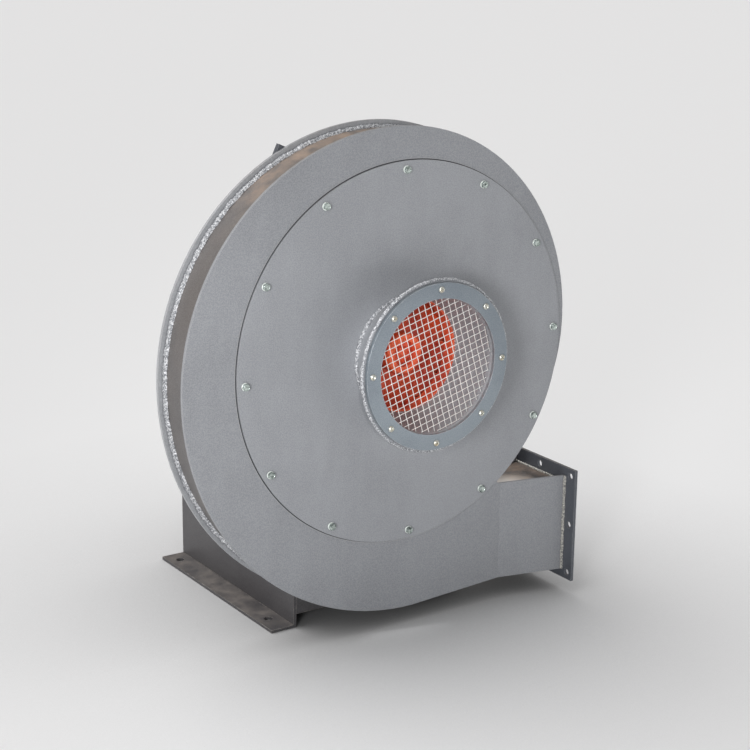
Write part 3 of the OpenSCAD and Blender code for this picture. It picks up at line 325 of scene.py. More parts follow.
@dataclass(frozen=True)
class Paint:
    """Sprayed satin paint on sheet steel: a fine grain, faint clouds, worn edges, settled dirt on faces
    that look up (on the wall, painted top light), and painted shade in corners.

    Each size is that of one noise's spots. Brushed stretches the streaks along an axis. A seam is
    a dark joint line at a radius from the shaft, a painted shadow of a plate's edge with dirt in the
    joint, with a painted highlight just outside it. Round the reflection point a painted reflection
    lightens the paint.
    """

    name: str
    colour: Colour
    shade: Colour
    edge: Colour = (0.50, 0.50, 0.50)
    # dirt on faces that look up; on the wall this colour is painted top light
    dust_and_top_light: Colour = (0.34, 0.29, 0.24)
    roughness: float = 0.42
    metallic: float = 0.15
    wear: float = 0.5
    # share of that dirt; on the wall it gives painted top light
    dust_and_top_light_share: float = 0.25
    grain: float = 0.08
    peel: float = 0.04 * MM
    seams: tuple[float, ...] = ()
    brushed: Xyz = (1.0, 1.0, 0.22)
    # painted shade: how strongly the paint darkens in corners
    corner_shade_share: float = 0.55
    # painted reflection: a pale patch round this point, with its tone and reach
    reflection_at: Xyz | None = None
    reflection_tone: Colour = (0.80, 0.77, 0.74)
    reflection_reach: tuple[float, float] = (0.015, 0.080)
    cloud_size: float = 0.22
    streak_size: float = 0.03
    drift_size: float = 0.05
    patch_size: float = 0.018
    dimple_size: float = 4.2 * MM
    grain_size: float = 1.6 * MM
    edge_reach: float = 1.2 * MM
    corner_reach: float = 4.0 * MM
    seam_half: float = 1.1 * MM
    # painted highlight just outside each seam: its half width, its distance and its strength
    lip_half: float = 0.8 * MM
    lip_off: float = 1.7 * MM
    lip_highlight: float = 0.45
    # painted shadow of a plate's edge along each seam, with dirt in the joint
    seam_shadow_and_dirt: Colour = (0.020, 0.020, 0.024)
    seam_shadow_and_dirt_size: float = 10.0 * MM
    # painted shade: the colour that the paint darkens to in corners
    corner_shade_tone: Colour = (0.03, 0.03, 0.03)
    # painted reflection: how strongly the pale patch shows
    reflection_share: float = 0.9
    corner_samples: int = 6

    def material(self) -> bpy.types.Material:
        """Returns the material."""
        s = Shader(self.name)
        clouds = s.noise(self.cloud_size, 4.0, 0.6)
        streaks = s.noise(self.streak_size, 3.0, 0.6, s.stretched(self.brushed))
        grain = s.noise(self.grain_size, 2.0, 0.7)
        tone = s.mix(self.shade, self.colour, (clouds * 0.75 + streaks * 0.25).between(0.36, 0.62))
        tone = s.mix(tone, s.mix(BLACK, WHITE, grain.between(0.35, 0.65)), self.grain)
        for seam in self.seams:
            tone = self.with_seam(s, tone, seam)
        patchy = s.noise(self.patch_size, 4.0, 0.7).between(0.42, 0.66)
        tone = s.mix(tone, self.edge, s.edges(self.edge_reach) * (0.25 + patchy * 0.75) * self.wear)
        # dirt on faces that look up; on the wall it is painted top light, paler and warmer on top
        dust_and_top_light_mask = s.upwards() * s.noise(self.drift_size, 5.0, 0.65).between(0.3, 0.75) * self.dust_and_top_light_share
        tone = s.mix(tone, self.dust_and_top_light, dust_and_top_light_mask)
        # painted reflection: a pale patch round a point
        if self.reflection_at is not None:
            away = s.distance(self.reflection_at).between(*self.reflection_reach)
            tone = s.mix(tone, self.reflection_tone, (1.0 - away) * self.reflection_share)
        # painted shade: the paint darkens where the surface lies in a corner
        corner = 1.0 - s.openness(self.corner_reach, self.corner_samples).between(0.25, 0.95)
        tone = s.mix(tone, self.corner_shade_tone, corner * self.corner_shade_share)
        rough = (self.roughness + (clouds - 0.5) * 0.22 + (grain - 0.5) * 0.18 + dust_and_top_light_mask * 0.4).clamped()
        dimples = s.noise(self.dimple_size, 2.0, 0.5) * 0.7 + grain * 0.3
        return s.finish({
            "Base Color": tone, "Roughness": rough, "Metallic": self.metallic,
            "Normal": s.bump(dimples, self.peel),
        })

    def with_seam(self, s: Shader, tone: Wire, seam: float) -> Wire:
        """Returns the tone with a dark joint line at a radius from the shaft, a painted shadow with dirt
        in the joint, and a painted highlight just outside it.
        """
        # painted shadow of the cover plate's edge, with dirt in the joint
        line = s.beside(s.radius(), seam, self.seam_half) * (1.0 + s.noise(self.seam_shadow_and_dirt_size, 3.0) * 0.8)
        tone = s.mix(tone, self.seam_shadow_and_dirt, line.clamped())
        # painted highlight just outside the seam, in the worn-edge colour
        bright = s.beside(s.radius(), seam + self.lip_off, self.lip_half) * self.lip_highlight
        return s.mix(tone, self.edge, bright)


@dataclass(frozen=True)
class BareMetal:
    """Plated, drawn or turned metal, with soft stains and fine scratches."""

    name: str
    colour: Colour
    stain: Colour
    roughness: float = 0.32
    stained: float = 0.5
    metallic: float = 0.9
    scratch: float = 0.02 * MM
    grit: Colour = (0.04, 0.035, 0.03)
    blotch_size: float = 6.0 * MM
    fine_size: float = 0.5 * MM

    def material(self) -> bpy.types.Material:
        """Returns the material."""
        s = Shader(self.name)
        blotch = s.noise(self.blotch_size, 4.0, 0.65)
        fine = s.noise(self.fine_size, 3.0, 0.7)
        tone = s.mix(self.colour, self.stain, blotch.between(0.4, 0.75) * self.stained)
        tone = s.mix(tone, self.grit, (1.0 - fine).between(0.55, 0.9) * 0.4)
        rough = (self.roughness + (blotch - 0.5) * 0.35 + (fine - 0.5) * 0.2).clamped()
        return s.finish({
            "Base Color": tone, "Roughness": rough, "Metallic": self.metallic,
            "Normal": s.bump(fine, self.scratch),
        })


@dataclass(frozen=True)
class Brushed:
    """Machined metal with grooves that run round the shaft."""

    name: str
    colour: Colour
    roughness: float = 0.34
    metallic: float = 0.95
    groove: float = 0.03 * MM
    stain: Colour = (0.16, 0.14, 0.12)
    groove_size: float = 0.7 * MM
    spot_size: float = 12.0 * MM

    def material(self) -> bpy.types.Material:
        """Returns the material."""
        s = Shader(self.name)
        turned = s.node("ShaderNodeCombineXYZ", {}, {0: s.radius(), 1: s.axis(s.position(), "Y")})
        grooves = s.noise(self.groove_size, 3.0, 0.7, turned)
        spots = s.noise(self.spot_size, 4.0, 0.6)
        tone = s.mix(self.colour, self.stain, spots.between(0.52, 0.8) * 0.5)
        rough = (self.roughness + (grooves - 0.5) * 0.3 + (spots - 0.5) * 0.2).clamped()
        return s.finish({
            "Base Color": tone, "Roughness": rough, "Metallic": self.metallic,
            "Normal": s.bump(grooves, self.groove),
        })


@dataclass(frozen=True)
class WeldMetal:
    """Painted or bare weld metal, its ripples lightened by a painted glint and darkened between them by
    painted shade.
    """

    name: str
    crest_glint: Colour
    hollow_shade: Colour
    metallic: float = 0.4
    roughness: float = 0.5
    lump: float = 0.6 * MM
    lump_size: float = 2.2 * MM

    def material(self) -> bpy.types.Material:
        """Returns the material."""
        s = Shader(self.name)
        lumps = s.noise(self.lump_size, 4.0, 0.7)
        # painted glint on the ripples and painted shade between them
        tone = s.mix(self.hollow_shade, self.crest_glint, lumps.between(0.40, 0.62))
        rough = (self.roughness - (lumps - 0.5) * 0.5).clamped()
        return s.finish({
            "Base Color": tone, "Roughness": rough, "Metallic": self.metallic,
            "Normal": s.bump(lumps, self.lump),
        })


@dataclass(frozen=True)
class Moulded:
    """Moulded plastic or rubber with a fine grain."""

    name: str
    colour: Colour
    roughness: float = 0.5
    grain: float = 0.04 * MM
    grain_size: float = 0.8 * MM
    cloud_size: float = 20.0 * MM

    def material(self) -> bpy.types.Material:
        """Returns the material."""
        s = Shader(self.name)
        grain = s.noise(self.grain_size, 3.0, 0.6)
        clouds = s.noise(self.cloud_size, 3.0, 0.6)
        lighter = tuple(min(1.0, c * 1.8 + 0.01) for c in self.colour)
        tone = s.mix(self.colour, lighter, clouds.between(0.4, 0.8) * 0.6)
        return s.finish({
            "Base Color": tone, "Roughness": (self.roughness + (grain - 0.5) * 0.25).clamped(),
            "Normal": s.bump(grain, self.grain),
        })


class Piece:
    """A mesh under construction, made of points and faces."""

    def __init__(self, name: str) -> None:
        """Starts an empty mesh.

        Args:
            name: The piece's name.
        """
        self.name = name
        self.points: Points = []
        self.faces: Faces = []

    def grid(self, rows: Sequence[Points], ring: bool = False) -> "Piece":
        """Joins rows of equally many points by faces, each row closed on itself.

        Args:
            rows: The rows of points.
            ring: Whether the last row joins the first.

        Returns:
            The piece.
        """
        start, wide = len(self.points), len(rows[0])
        for row in rows:
            self.points.extend(row)
        count = len(rows)
        for i in range(count if ring else count - 1):
            for j in range(wide):
                k = (j + 1) % wide
                a, b = start + i * wide, start + ((i + 1) % count) * wide
                self.faces.append((a + j, a + k, b + k, b + j))
        return self

    def cap(self, row: Points, flip: bool = False) -> "Piece":
        """Closes a loop of points by one face."""
        start = len(self.points)
        self.points.extend(row)
        order = tuple(range(start, start + len(row)))
        self.faces.append(order[::-1] if flip else order)
        return self

    def tube(self, path: Points, radii: Sequence[float], sides: int, closed: bool = False) -> "Piece":
        """Sweeps a round section along a path.

        Args:
            path: The path's points.
            radii: The radius at each point.
            sides: The number of sides.
            closed: Whether the path is a loop.

        Returns:
            The piece.
        """
        rows: list[Points] = []
        count = len(path)
        side = Vector((0.0, 1.0, 0.0))
        for i, here in enumerate(path):
            ahead = path[(i + 1) % count] if closed or i + 1 < count else here
            behind = path[i - 1] if closed or i else here
            along = (ahead - behind).normalized()
            side = (side - along * side.dot(along)).normalized()
            other = along.cross(side)
            turn = [2.0 * math.pi * k / sides for k in range(sides)]
            rows.append([here + (side * math.cos(a) + other * math.sin(a)) * radii[i] for a in turn])
        self.grid(rows, ring=closed)
        if not closed:
            self.cap(rows[0], True).cap(rows[-1])
        return self

    def moved(self, matrix: Matrix, start: int = 0) -> "Piece":
        """Moves the points from the start number on by a matrix."""
        for i in range(start, len(self.points)):
            self.points[i] = matrix @ self.points[i]
        return self

    def build(self, body: Body, slot: Slot, material: bpy.types.Material,
              stands_for: Sequence[str] = (), sharp: float = 40.0) -> bpy.types.Object:
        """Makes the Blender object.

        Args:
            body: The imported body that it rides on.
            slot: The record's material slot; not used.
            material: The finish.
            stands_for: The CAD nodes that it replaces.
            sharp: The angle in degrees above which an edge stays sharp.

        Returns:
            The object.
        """
        mesh = bpy.data.meshes.new(self.name)
        mesh.from_pydata([tuple(p) for p in self.points], [], self.faces)
        mesh.validate()
        made = bpy.data.objects.new(self.name, mesh)
        bpy.context.scene.collection.objects.link(made)
        self.tidy(mesh)
        mesh.shade_smooth()
        mesh.set_sharp_from_angle(angle=math.radians(sharp))
        mesh.materials.append(material)
        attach(made, body.value)
        if stands_for:
            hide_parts(*stands_for)
        log.info("%s: %d faces", self.name, len(mesh.polygons))
        return made

    @staticmethod
    def tidy(mesh: bpy.types.Mesh) -> None:
        """Joins points that coincide and turns every face outwards."""
        work = bmesh.new()
        work.from_mesh(mesh)
        bmesh.ops.remove_doubles(work, verts=work.verts, dist=JOIN)
        bmesh.ops.recalc_face_normals(work, faces=work.faces)
        work.to_mesh(mesh)
        work.free()


Finish = Union[Paint, BareMetal, Brushed, WeldMetal, Moulded]


@dataclass
class Finishes:
    """Every finish of the blower, as the photograph shows it or as such a machine has it."""

    casing: Paint = Paint("casing_grey", (0.325, 0.336, 0.360), (0.285, 0.295, 0.317))
    # the seam at the cover's edge carries a painted shadow and a painted highlight
    front: Paint = Paint("front_grey", (0.292, 0.302, 0.324), (0.255, 0.264, 0.284), seams=(0.2934,))
    # painted shade: the wall's grey is a darker copy of the casing paint, standing in for the shade on the
    # scroll wall; its up-facing colour is painted top light and its point gives a painted reflection on
    # the duct top
    wall: Paint = Paint("wall_grey", (0.140, 0.127, 0.121), (0.095, 0.089, 0.089),
                        edge=(0.45, 0.43, 0.40), dust_and_top_light=(0.42, 0.31, 0.235), roughness=0.38,
                        metallic=0.2, dust_and_top_light_share=0.95, grain=0.05, reflection_at=(0.200, -0.262, 0.1975))
    # painted light: the rear plate's grey is a lighter copy of the casing paint, lifting the shade beside
    # the wall
    rear: Paint = Paint("rear_grey", (0.380, 0.390, 0.410), (0.320, 0.330, 0.350), wear=0.7)
    # painted shade: the base's grey is a darker copy of the casing paint, standing in for the shade on its
    # sides that face away from the light
    side: Paint = Paint("base_grey", (0.080, 0.077, 0.081), (0.054, 0.051, 0.055),
                        edge=(0.50, 0.46, 0.42), dust_and_top_light=(0.27, 0.24, 0.215), dust_and_top_light_share=0.75,
                        wear=0.9, grain=0.03, brushed=(3.0, 0.10, 1.0))
    dark: Paint = Paint("flange_grey", (0.105, 0.115, 0.135), (0.070, 0.078, 0.095),
                        wear=0.7, roughness=0.36, grain=0.03)
    ring: Paint = Paint("ring_grey", (0.260, 0.300, 0.335), (0.205, 0.240, 0.275),
                        edge=(0.72, 0.75, 0.78), wear=1.0, roughness=0.34, metallic=0.5,
                        grain=0.06, brushed=(0.3, 1.0, 0.3))
    impeller: Paint = Paint("impeller_red", (0.97, 0.105, 0.008), (0.42, 0.022, 0.004),
                            edge=(0.85, 0.35, 0.2), roughness=0.45, metallic=0.0, wear=0.7, dust_and_top_light_share=0.1)
    motor: Paint = Paint("motor_slate", (0.10, 0.125, 0.16), (0.075, 0.095, 0.125),
                         roughness=0.4, metallic=0.0, grain=0.02)
    head: BareMetal = BareMetal("screw_zinc", (0.62, 0.70, 0.66), (0.05, 0.07, 0.065), 0.26, 1.0)
    washer: BareMetal = BareMetal("washer_zinc", (0.88, 0.93, 0.89), (0.50, 0.56, 0.52), 0.38, 0.4, 0.35)
    zinc: BareMetal = BareMetal("zinc_plate", (0.74, 0.75, 0.70), (0.55, 0.42, 0.22), 0.30, 0.7)
    wire: BareMetal = BareMetal("guard_wire", (0.92, 0.91, 0.88), (0.66, 0.64, 0.60), 0.36, 0.4, 0.6)
    steel: Brushed = Brushed("turned_steel", (0.60, 0.60, 0.60))
    # first colours are painted glints on the ripples, second colours painted shade between them
    bead: WeldMetal = WeldMetal("painted_bead", (0.78, 0.79, 0.81), (0.22, 0.23, 0.25), 0.55)
    bright_bead: WeldMetal = WeldMetal("bare_bead", (0.82, 0.80, 0.73), (0.26, 0.26, 0.26), 0.6)
    rotor: BareMetal = BareMetal("cast_rotor", (0.45, 0.45, 0.46), (0.25, 0.22, 0.20), 0.5)
    copper: BareMetal = BareMetal("varnished_copper", (0.55, 0.22, 0.10), (0.35, 0.12, 0.05), 0.35)
    plastic: Moulded = Moulded("black_plastic", (0.02, 0.02, 0.022))
    made: dict[str, bpy.types.Material] = field(default_factory=dict)

    def get(self, finish: Finish) -> bpy.types.Material:
        """Returns a finish's material, made once."""
        if finish.name not in self.made:
            self.made[finish.name] = finish.material()
        return self.made[finish.name]


@dataclass
class CadSkin:
    """Dresses the CAD nodes whose own shape is shown."""

    finishes: Finishes

    def plan(self) -> tuple[tuple[Finish, tuple[str, ...]], ...]:
        """Returns each finish with the CAD nodes that wear it."""
        own = self.finishes
        return (
            (own.casing, ("cover_plate", "inlet_collar")),
            (own.rear, ("casing_rear_plate",)),
            (own.wall, ("scroll_wall",)),
            (own.front, ("casing_front_plate",)),
            (own.side, ("base_side_left", "base_side_right", "base_front_panel", "base_rear_panel",
                        "motor_platform")),
            (own.dark, ("outlet_flange", "lifting_lug")),
            (own.ring, ("inlet_ring",)),
            (own.impeller, ("inlet_nozzle", "impeller_shroud", "impeller_blades",
                            "impeller_back_disc", "impeller_hub", "shaft_end_washer",
                            "shaft_end_screw")),
            (own.motor, ("motor_frame", "drive_end_shield", "rear_end_shield", "fan_cowl",
                         "terminal_box", "terminal_box_lid")),
            (own.zinc, ("seal_screws", "end_shield_screws", "cowl_screws", "lid_screws", "eye_bolt",
                        "motor_foot_bolts", "motor_foot_washers", "motor_foot_nuts",
                        "casing_bolts", "casing_nuts")),
            (own.steel, ("shaft_seal_plate", "hub_rivets", "shaft_key", "motor_shaft",
                         "stator_core", "bearing_outer_races", "bearing_inner_races",
                         "bearing_balls")),
            (own.rotor, ("rotor_core",)),
            (own.copper, ("stator_windings", "bearing_cages")),
            (own.plastic, ("cooling_fan",)),
        )

    def dress(self) -> None:
        """Gives every CAD node of the plan its finish."""
        for finish, nodes in self.plan():
            for name in nodes:
                node = frame["nodes"][name]
                node.data.materials.clear()
                node.data.materials.append(self.finishes.get(finish))
                log.info("CAD node %s: %s", name, finish.name)


@dataclass
class WeldBeads:
    """The lumpy beads that join the sheets, laid along the real seams.

    Heights and places across are taken from the shaft. Thin, the rises and the drift are shares
    of a bead's radius.
    """

    finishes: Finishes
    scroll_r: float = 0.3235
    step_z: float = 0.033
    step_x: float = 0.040
    tail_r: float = 0.2845
    centre_x: float = -0.022
    centre_z: float = 0.0205
    core_r: float = 0.292
    rim: float = 0.011
    notch_r: float = 0.0065
    duct_top: float = -0.2395
    duct_low: float = -0.4005
    bend_x: float = 0.187
    sink: float = 2.0 * MM
    step: float = 1.6 * MM
    rear_bead: float = 5.0 * MM
    rear_ripple: float = 6.5 * MM
    front_bead: float = 3.6 * MM
    front_ripple: float = 6.0 * MM
    foot_r: float = 91.0 * MM
    foot_bead: float = 3.6 * MM
    rim_r: float = 129.3 * MM
    rim_bead: float = 2.8 * MM
    rim_back: float = 2.0 * MM
    collar_step: float = 1.4 * MM
    collar_ripples: int = 92
    outlet_bead: float = 3.2 * MM
    outlet_ripple: float = 5.5 * MM
    outlet_step: float = 1.2 * MM
    bead_sides: int = 8
    thin: float = 0.84
    ripple_rise: float = 0.2
    lump_rise: float = 0.28
    lumps_per_m: float = 90.0
    drift: float = 0.25
    drifts_per_m: float = 60.0
    drift_row: float = 7.0
    notch_steps: int = 8
    drift_seed: int = 11

    def reach(self, angle: float, inset: float) -> float:
        """Returns the scroll's radius from the shaft at an angle, drawn in by inset."""
        ray = Vector((math.cos(angle), math.sin(angle)))
        low = self.centre_z - self.step_z
        arcs = (
            (self.centre_x, self.centre_z, self.scroll_r, 1, 1),
            (self.centre_x, low, self.scroll_r + self.step_z, -1, 1),
            (self.centre_x + self.step_x, low, self.scroll_r + self.step_z + self.step_x, -1, -1),
            (self.scroll_r + self.centre_x - self.tail_r, self.centre_z, self.tail_r, 1, -1),
        )
        best = self.core_r - inset
        for x, z, radius, side, up in arcs:
            centre = Vector((x, z))
            along = centre.dot(ray)
            far = along + math.sqrt(along * along - centre.length_squared + (radius - inset) ** 2)
            hit = ray * far - centre
            if hit.x * side >= 0 and hit.y * up >= 0:
                best = max(best, far)
        return best

    def outline(self, inset: float, y: float, pitch: float) -> Points:
        """Follows the scroll wall from the duct's bottom round to the duct's top.

        Args:
            inset: The distance from the plates' edge.
            y: The place along the shaft.
            pitch: The distance between points.

        Returns:
            The points of the path.
        """
        notch_z = self.duct_top + self.notch_r
        notch_x = math.sqrt((self.core_r + self.notch_r) ** 2 - notch_z ** 2)
        last = math.atan2(notch_z, notch_x)
        low_x = self.centre_x + self.step_x
        low_z = self.centre_z - self.step_z - (self.scroll_r + self.step_z + self.step_x) + inset
        first = math.atan2(low_z, low_x) + 2.0 * math.pi
        corners = [Vector((self.bend_x, self.duct_low + inset)), Vector((low_x, low_z))]
        steps = int((first - last) * self.scroll_r / pitch)
        flat = []
        for i in range(steps + 1):
            angle = first + (last - first) * i / steps
            flat.append(Vector((math.cos(angle), math.sin(angle))) * self.reach(angle, inset))
        turn = self.notch_r + inset
        start = last + math.pi
        for i in range(1, self.notch_steps + 1):
            angle = start + (1.5 * math.pi - start) * i / self.notch_steps
            flat.append(Vector((notch_x + turn * math.cos(angle), notch_z + turn * math.sin(angle))))
        flat.append(Vector((self.bend_x, self.duct_top - inset)))
        first_run = int((corners[0] - corners[1]).length / pitch)
        run = [corners[0].lerp(corners[1], i / first_run) for i in range(first_run)]
        return [Vector((p.x, y, SHAFT_Z + p.y)) for p in run + flat]

    def lay(self, piece: Piece, path: Points, radius: float, ripple: float, closed: bool,
            seed: float) -> Piece:
        """Lays a bead with ripples and lumps along a path.

        Args:
            piece: The mesh that it joins.
            path: The seam's points, much closer together than the ripples.
            radius: The bead's mean radius.
            ripple: The distance between ripples.
            closed: Whether the seam is a loop.
            seed: The place in the noise.

        Returns:
            The piece.
        """
        radii, middle, run = [], [], 0.0
        for i, here in enumerate(path):
            if i:
                run += (here - path[i - 1]).length
            scale = 0.5 - 0.5 * math.cos(2.0 * math.pi * run / ripple)
            lump = noise.noise(Vector((run * self.lumps_per_m, seed, 0.0)))
            drift = noise.noise_vector(Vector((run * self.drifts_per_m, seed, self.drift_row)))
            radii.append(radius * (self.thin + self.ripple_rise * scale + self.lump_rise * lump))
            middle.append(here + drift * radius * self.drift)
        return piece.tube(middle, radii, self.bead_sides, closed)

    def build(self) -> None:
        """Lays every bead, the same in each run."""
        noise.seed_set(self.drift_seed)
        front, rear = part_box("casing_front_plate")[1].y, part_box("casing_rear_plate")[0].y
        front_path = self.outline(self.rim, front, self.step)
        rear_path = self.outline(self.rim, rear - self.sink, self.step)
        scroll = Piece("scroll_bead")
        self.lay(scroll, rear_path, self.rear_bead, self.rear_ripple, False, 1.0)
        self.lay(scroll, front_path, self.front_bead, self.front_ripple, False, 2.0)
        own = self.finishes
        scroll.build(Body.FRAME, Slot.BEAD, own.get(own.bead), ("scroll_welds",))
        self.build_collar()
        self.build_outlet()

    def build_collar(self) -> None:
        """Lays the bead at the collar's foot and the one round its flange's rim."""
        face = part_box("cover_plate")[0].y
        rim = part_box("inlet_collar")[0].y + self.rim_back
        piece = Piece("collar_bead")
        beads = ((self.foot_r, face, self.foot_bead, 3.0), (self.rim_r, rim, self.rim_bead, 4.0))
        for radius, y, thick, seed in beads:
            round_length = 2.0 * math.pi * radius
            count = int(round_length / self.collar_step)
            path = [place(radius, 2.0 * math.pi * i / count, y) for i in range(count)]
            self.lay(piece, path, thick, round_length / self.collar_ripples, True, seed)
        own = self.finishes
        piece.build(Body.FRAME, Slot.BEAD, own.get(own.bead), ("collar_weld",))

    def build_outlet(self) -> None:
        """Lays the beads behind the outlet flange, down the leaning plates and along the duct walls."""
        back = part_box("outlet_flange")[0].x
        low, high = SHAFT_Z + self.duct_low, SHAFT_Z + self.duct_top
        inset_low, inset_high = low + self.rim, high - self.rim
        near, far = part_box("casing_front_plate")[0].y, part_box("casing_rear_plate")[1].y
        runs = (
            (Vector((back, near, low)), Vector((back, near, high))),
            (Vector((back, far, low)), Vector((back, far, high))),
            (Vector((back, near, inset_high)), Vector((back, far, inset_high))),
            (Vector((back, near, inset_low)), Vector((back, far, inset_low))),
        )
        piece = Piece("outlet_bead")
        for seed, (start, end) in enumerate(runs):
            count = int((end - start).length / self.outlet_step)
            path = [start.lerp(end, i / count) for i in range(count + 1)]
            self.lay(piece, path, self.outlet_bead, self.outlet_ripple, False, 10.0 + seed)
        own = self.finishes
        piece.build(Body.FRAME, Slot.BEAD, own.get(own.bright_bead), ("outlet_welds",))


@dataclass
class WireGuard:
    """The inlet's guard, woven from two families of round wires."""

    finishes: Finishes
    pitch: float = 10.4 * MM
    wire: float = 0.62 * MM
    lean: float = math.radians(16.0)
    edge: float = 101.0 * MM
    wave: float = 0.62
    steps_per_pitch: int = 6
    least_steps: int = 4
    sides: int = 6

    def build(self) -> None:
        """Weaves the wires, over and under by turns."""
        lo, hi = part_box("inlet_guard")
        middle = (lo.y + hi.y) / 2.0
        piece = Piece("woven_guard")
        count = int(self.edge / self.pitch) + 1
        for family in Weave:
            for k in range(-count, count + 1):
                off = (k + 0.5) * self.pitch
                if abs(off) < self.edge - 2.0 * self.wire:
                    self.weave(piece, family, k, off, middle)
        own = self.finishes
        piece.build(Body.FRAME, Slot.WIRE, own.get(own.wire), ("inlet_guard",), sharp=60.0)

    def weave(self, piece: Piece, family: Weave, number: int, off: float, middle: float) -> None:
        """Adds one wire.

        Args:
            piece: The mesh that it joins.
            family: Which way it runs.
            number: Its place among its family.
            off: Its distance from the middle.
            middle: The guard's place along the shaft.
        """
        reach = math.sqrt(self.edge ** 2 - off ** 2)
        steps = max(self.least_steps, int(2.0 * reach / self.pitch * self.steps_per_pitch))
        path = []
        for i in range(steps + 1):
            run = -reach + 2.0 * reach * i / steps
            phase = math.pi * (run / self.pitch + number + family.value)
            wave = self.wire * self.wave * math.cos(phase)
            flat = Vector((run, off)) if family is Weave.WARP else Vector((-off, run))
            x = flat.x * math.cos(self.lean) - flat.y * math.sin(self.lean)
            z = flat.x * math.sin(self.lean) + flat.y * math.cos(self.lean)
            path.append(Vector((x, middle + wave, SHAFT_Z + z)))
        piece.tube(path, [self.wire] * len(path), self.sides)


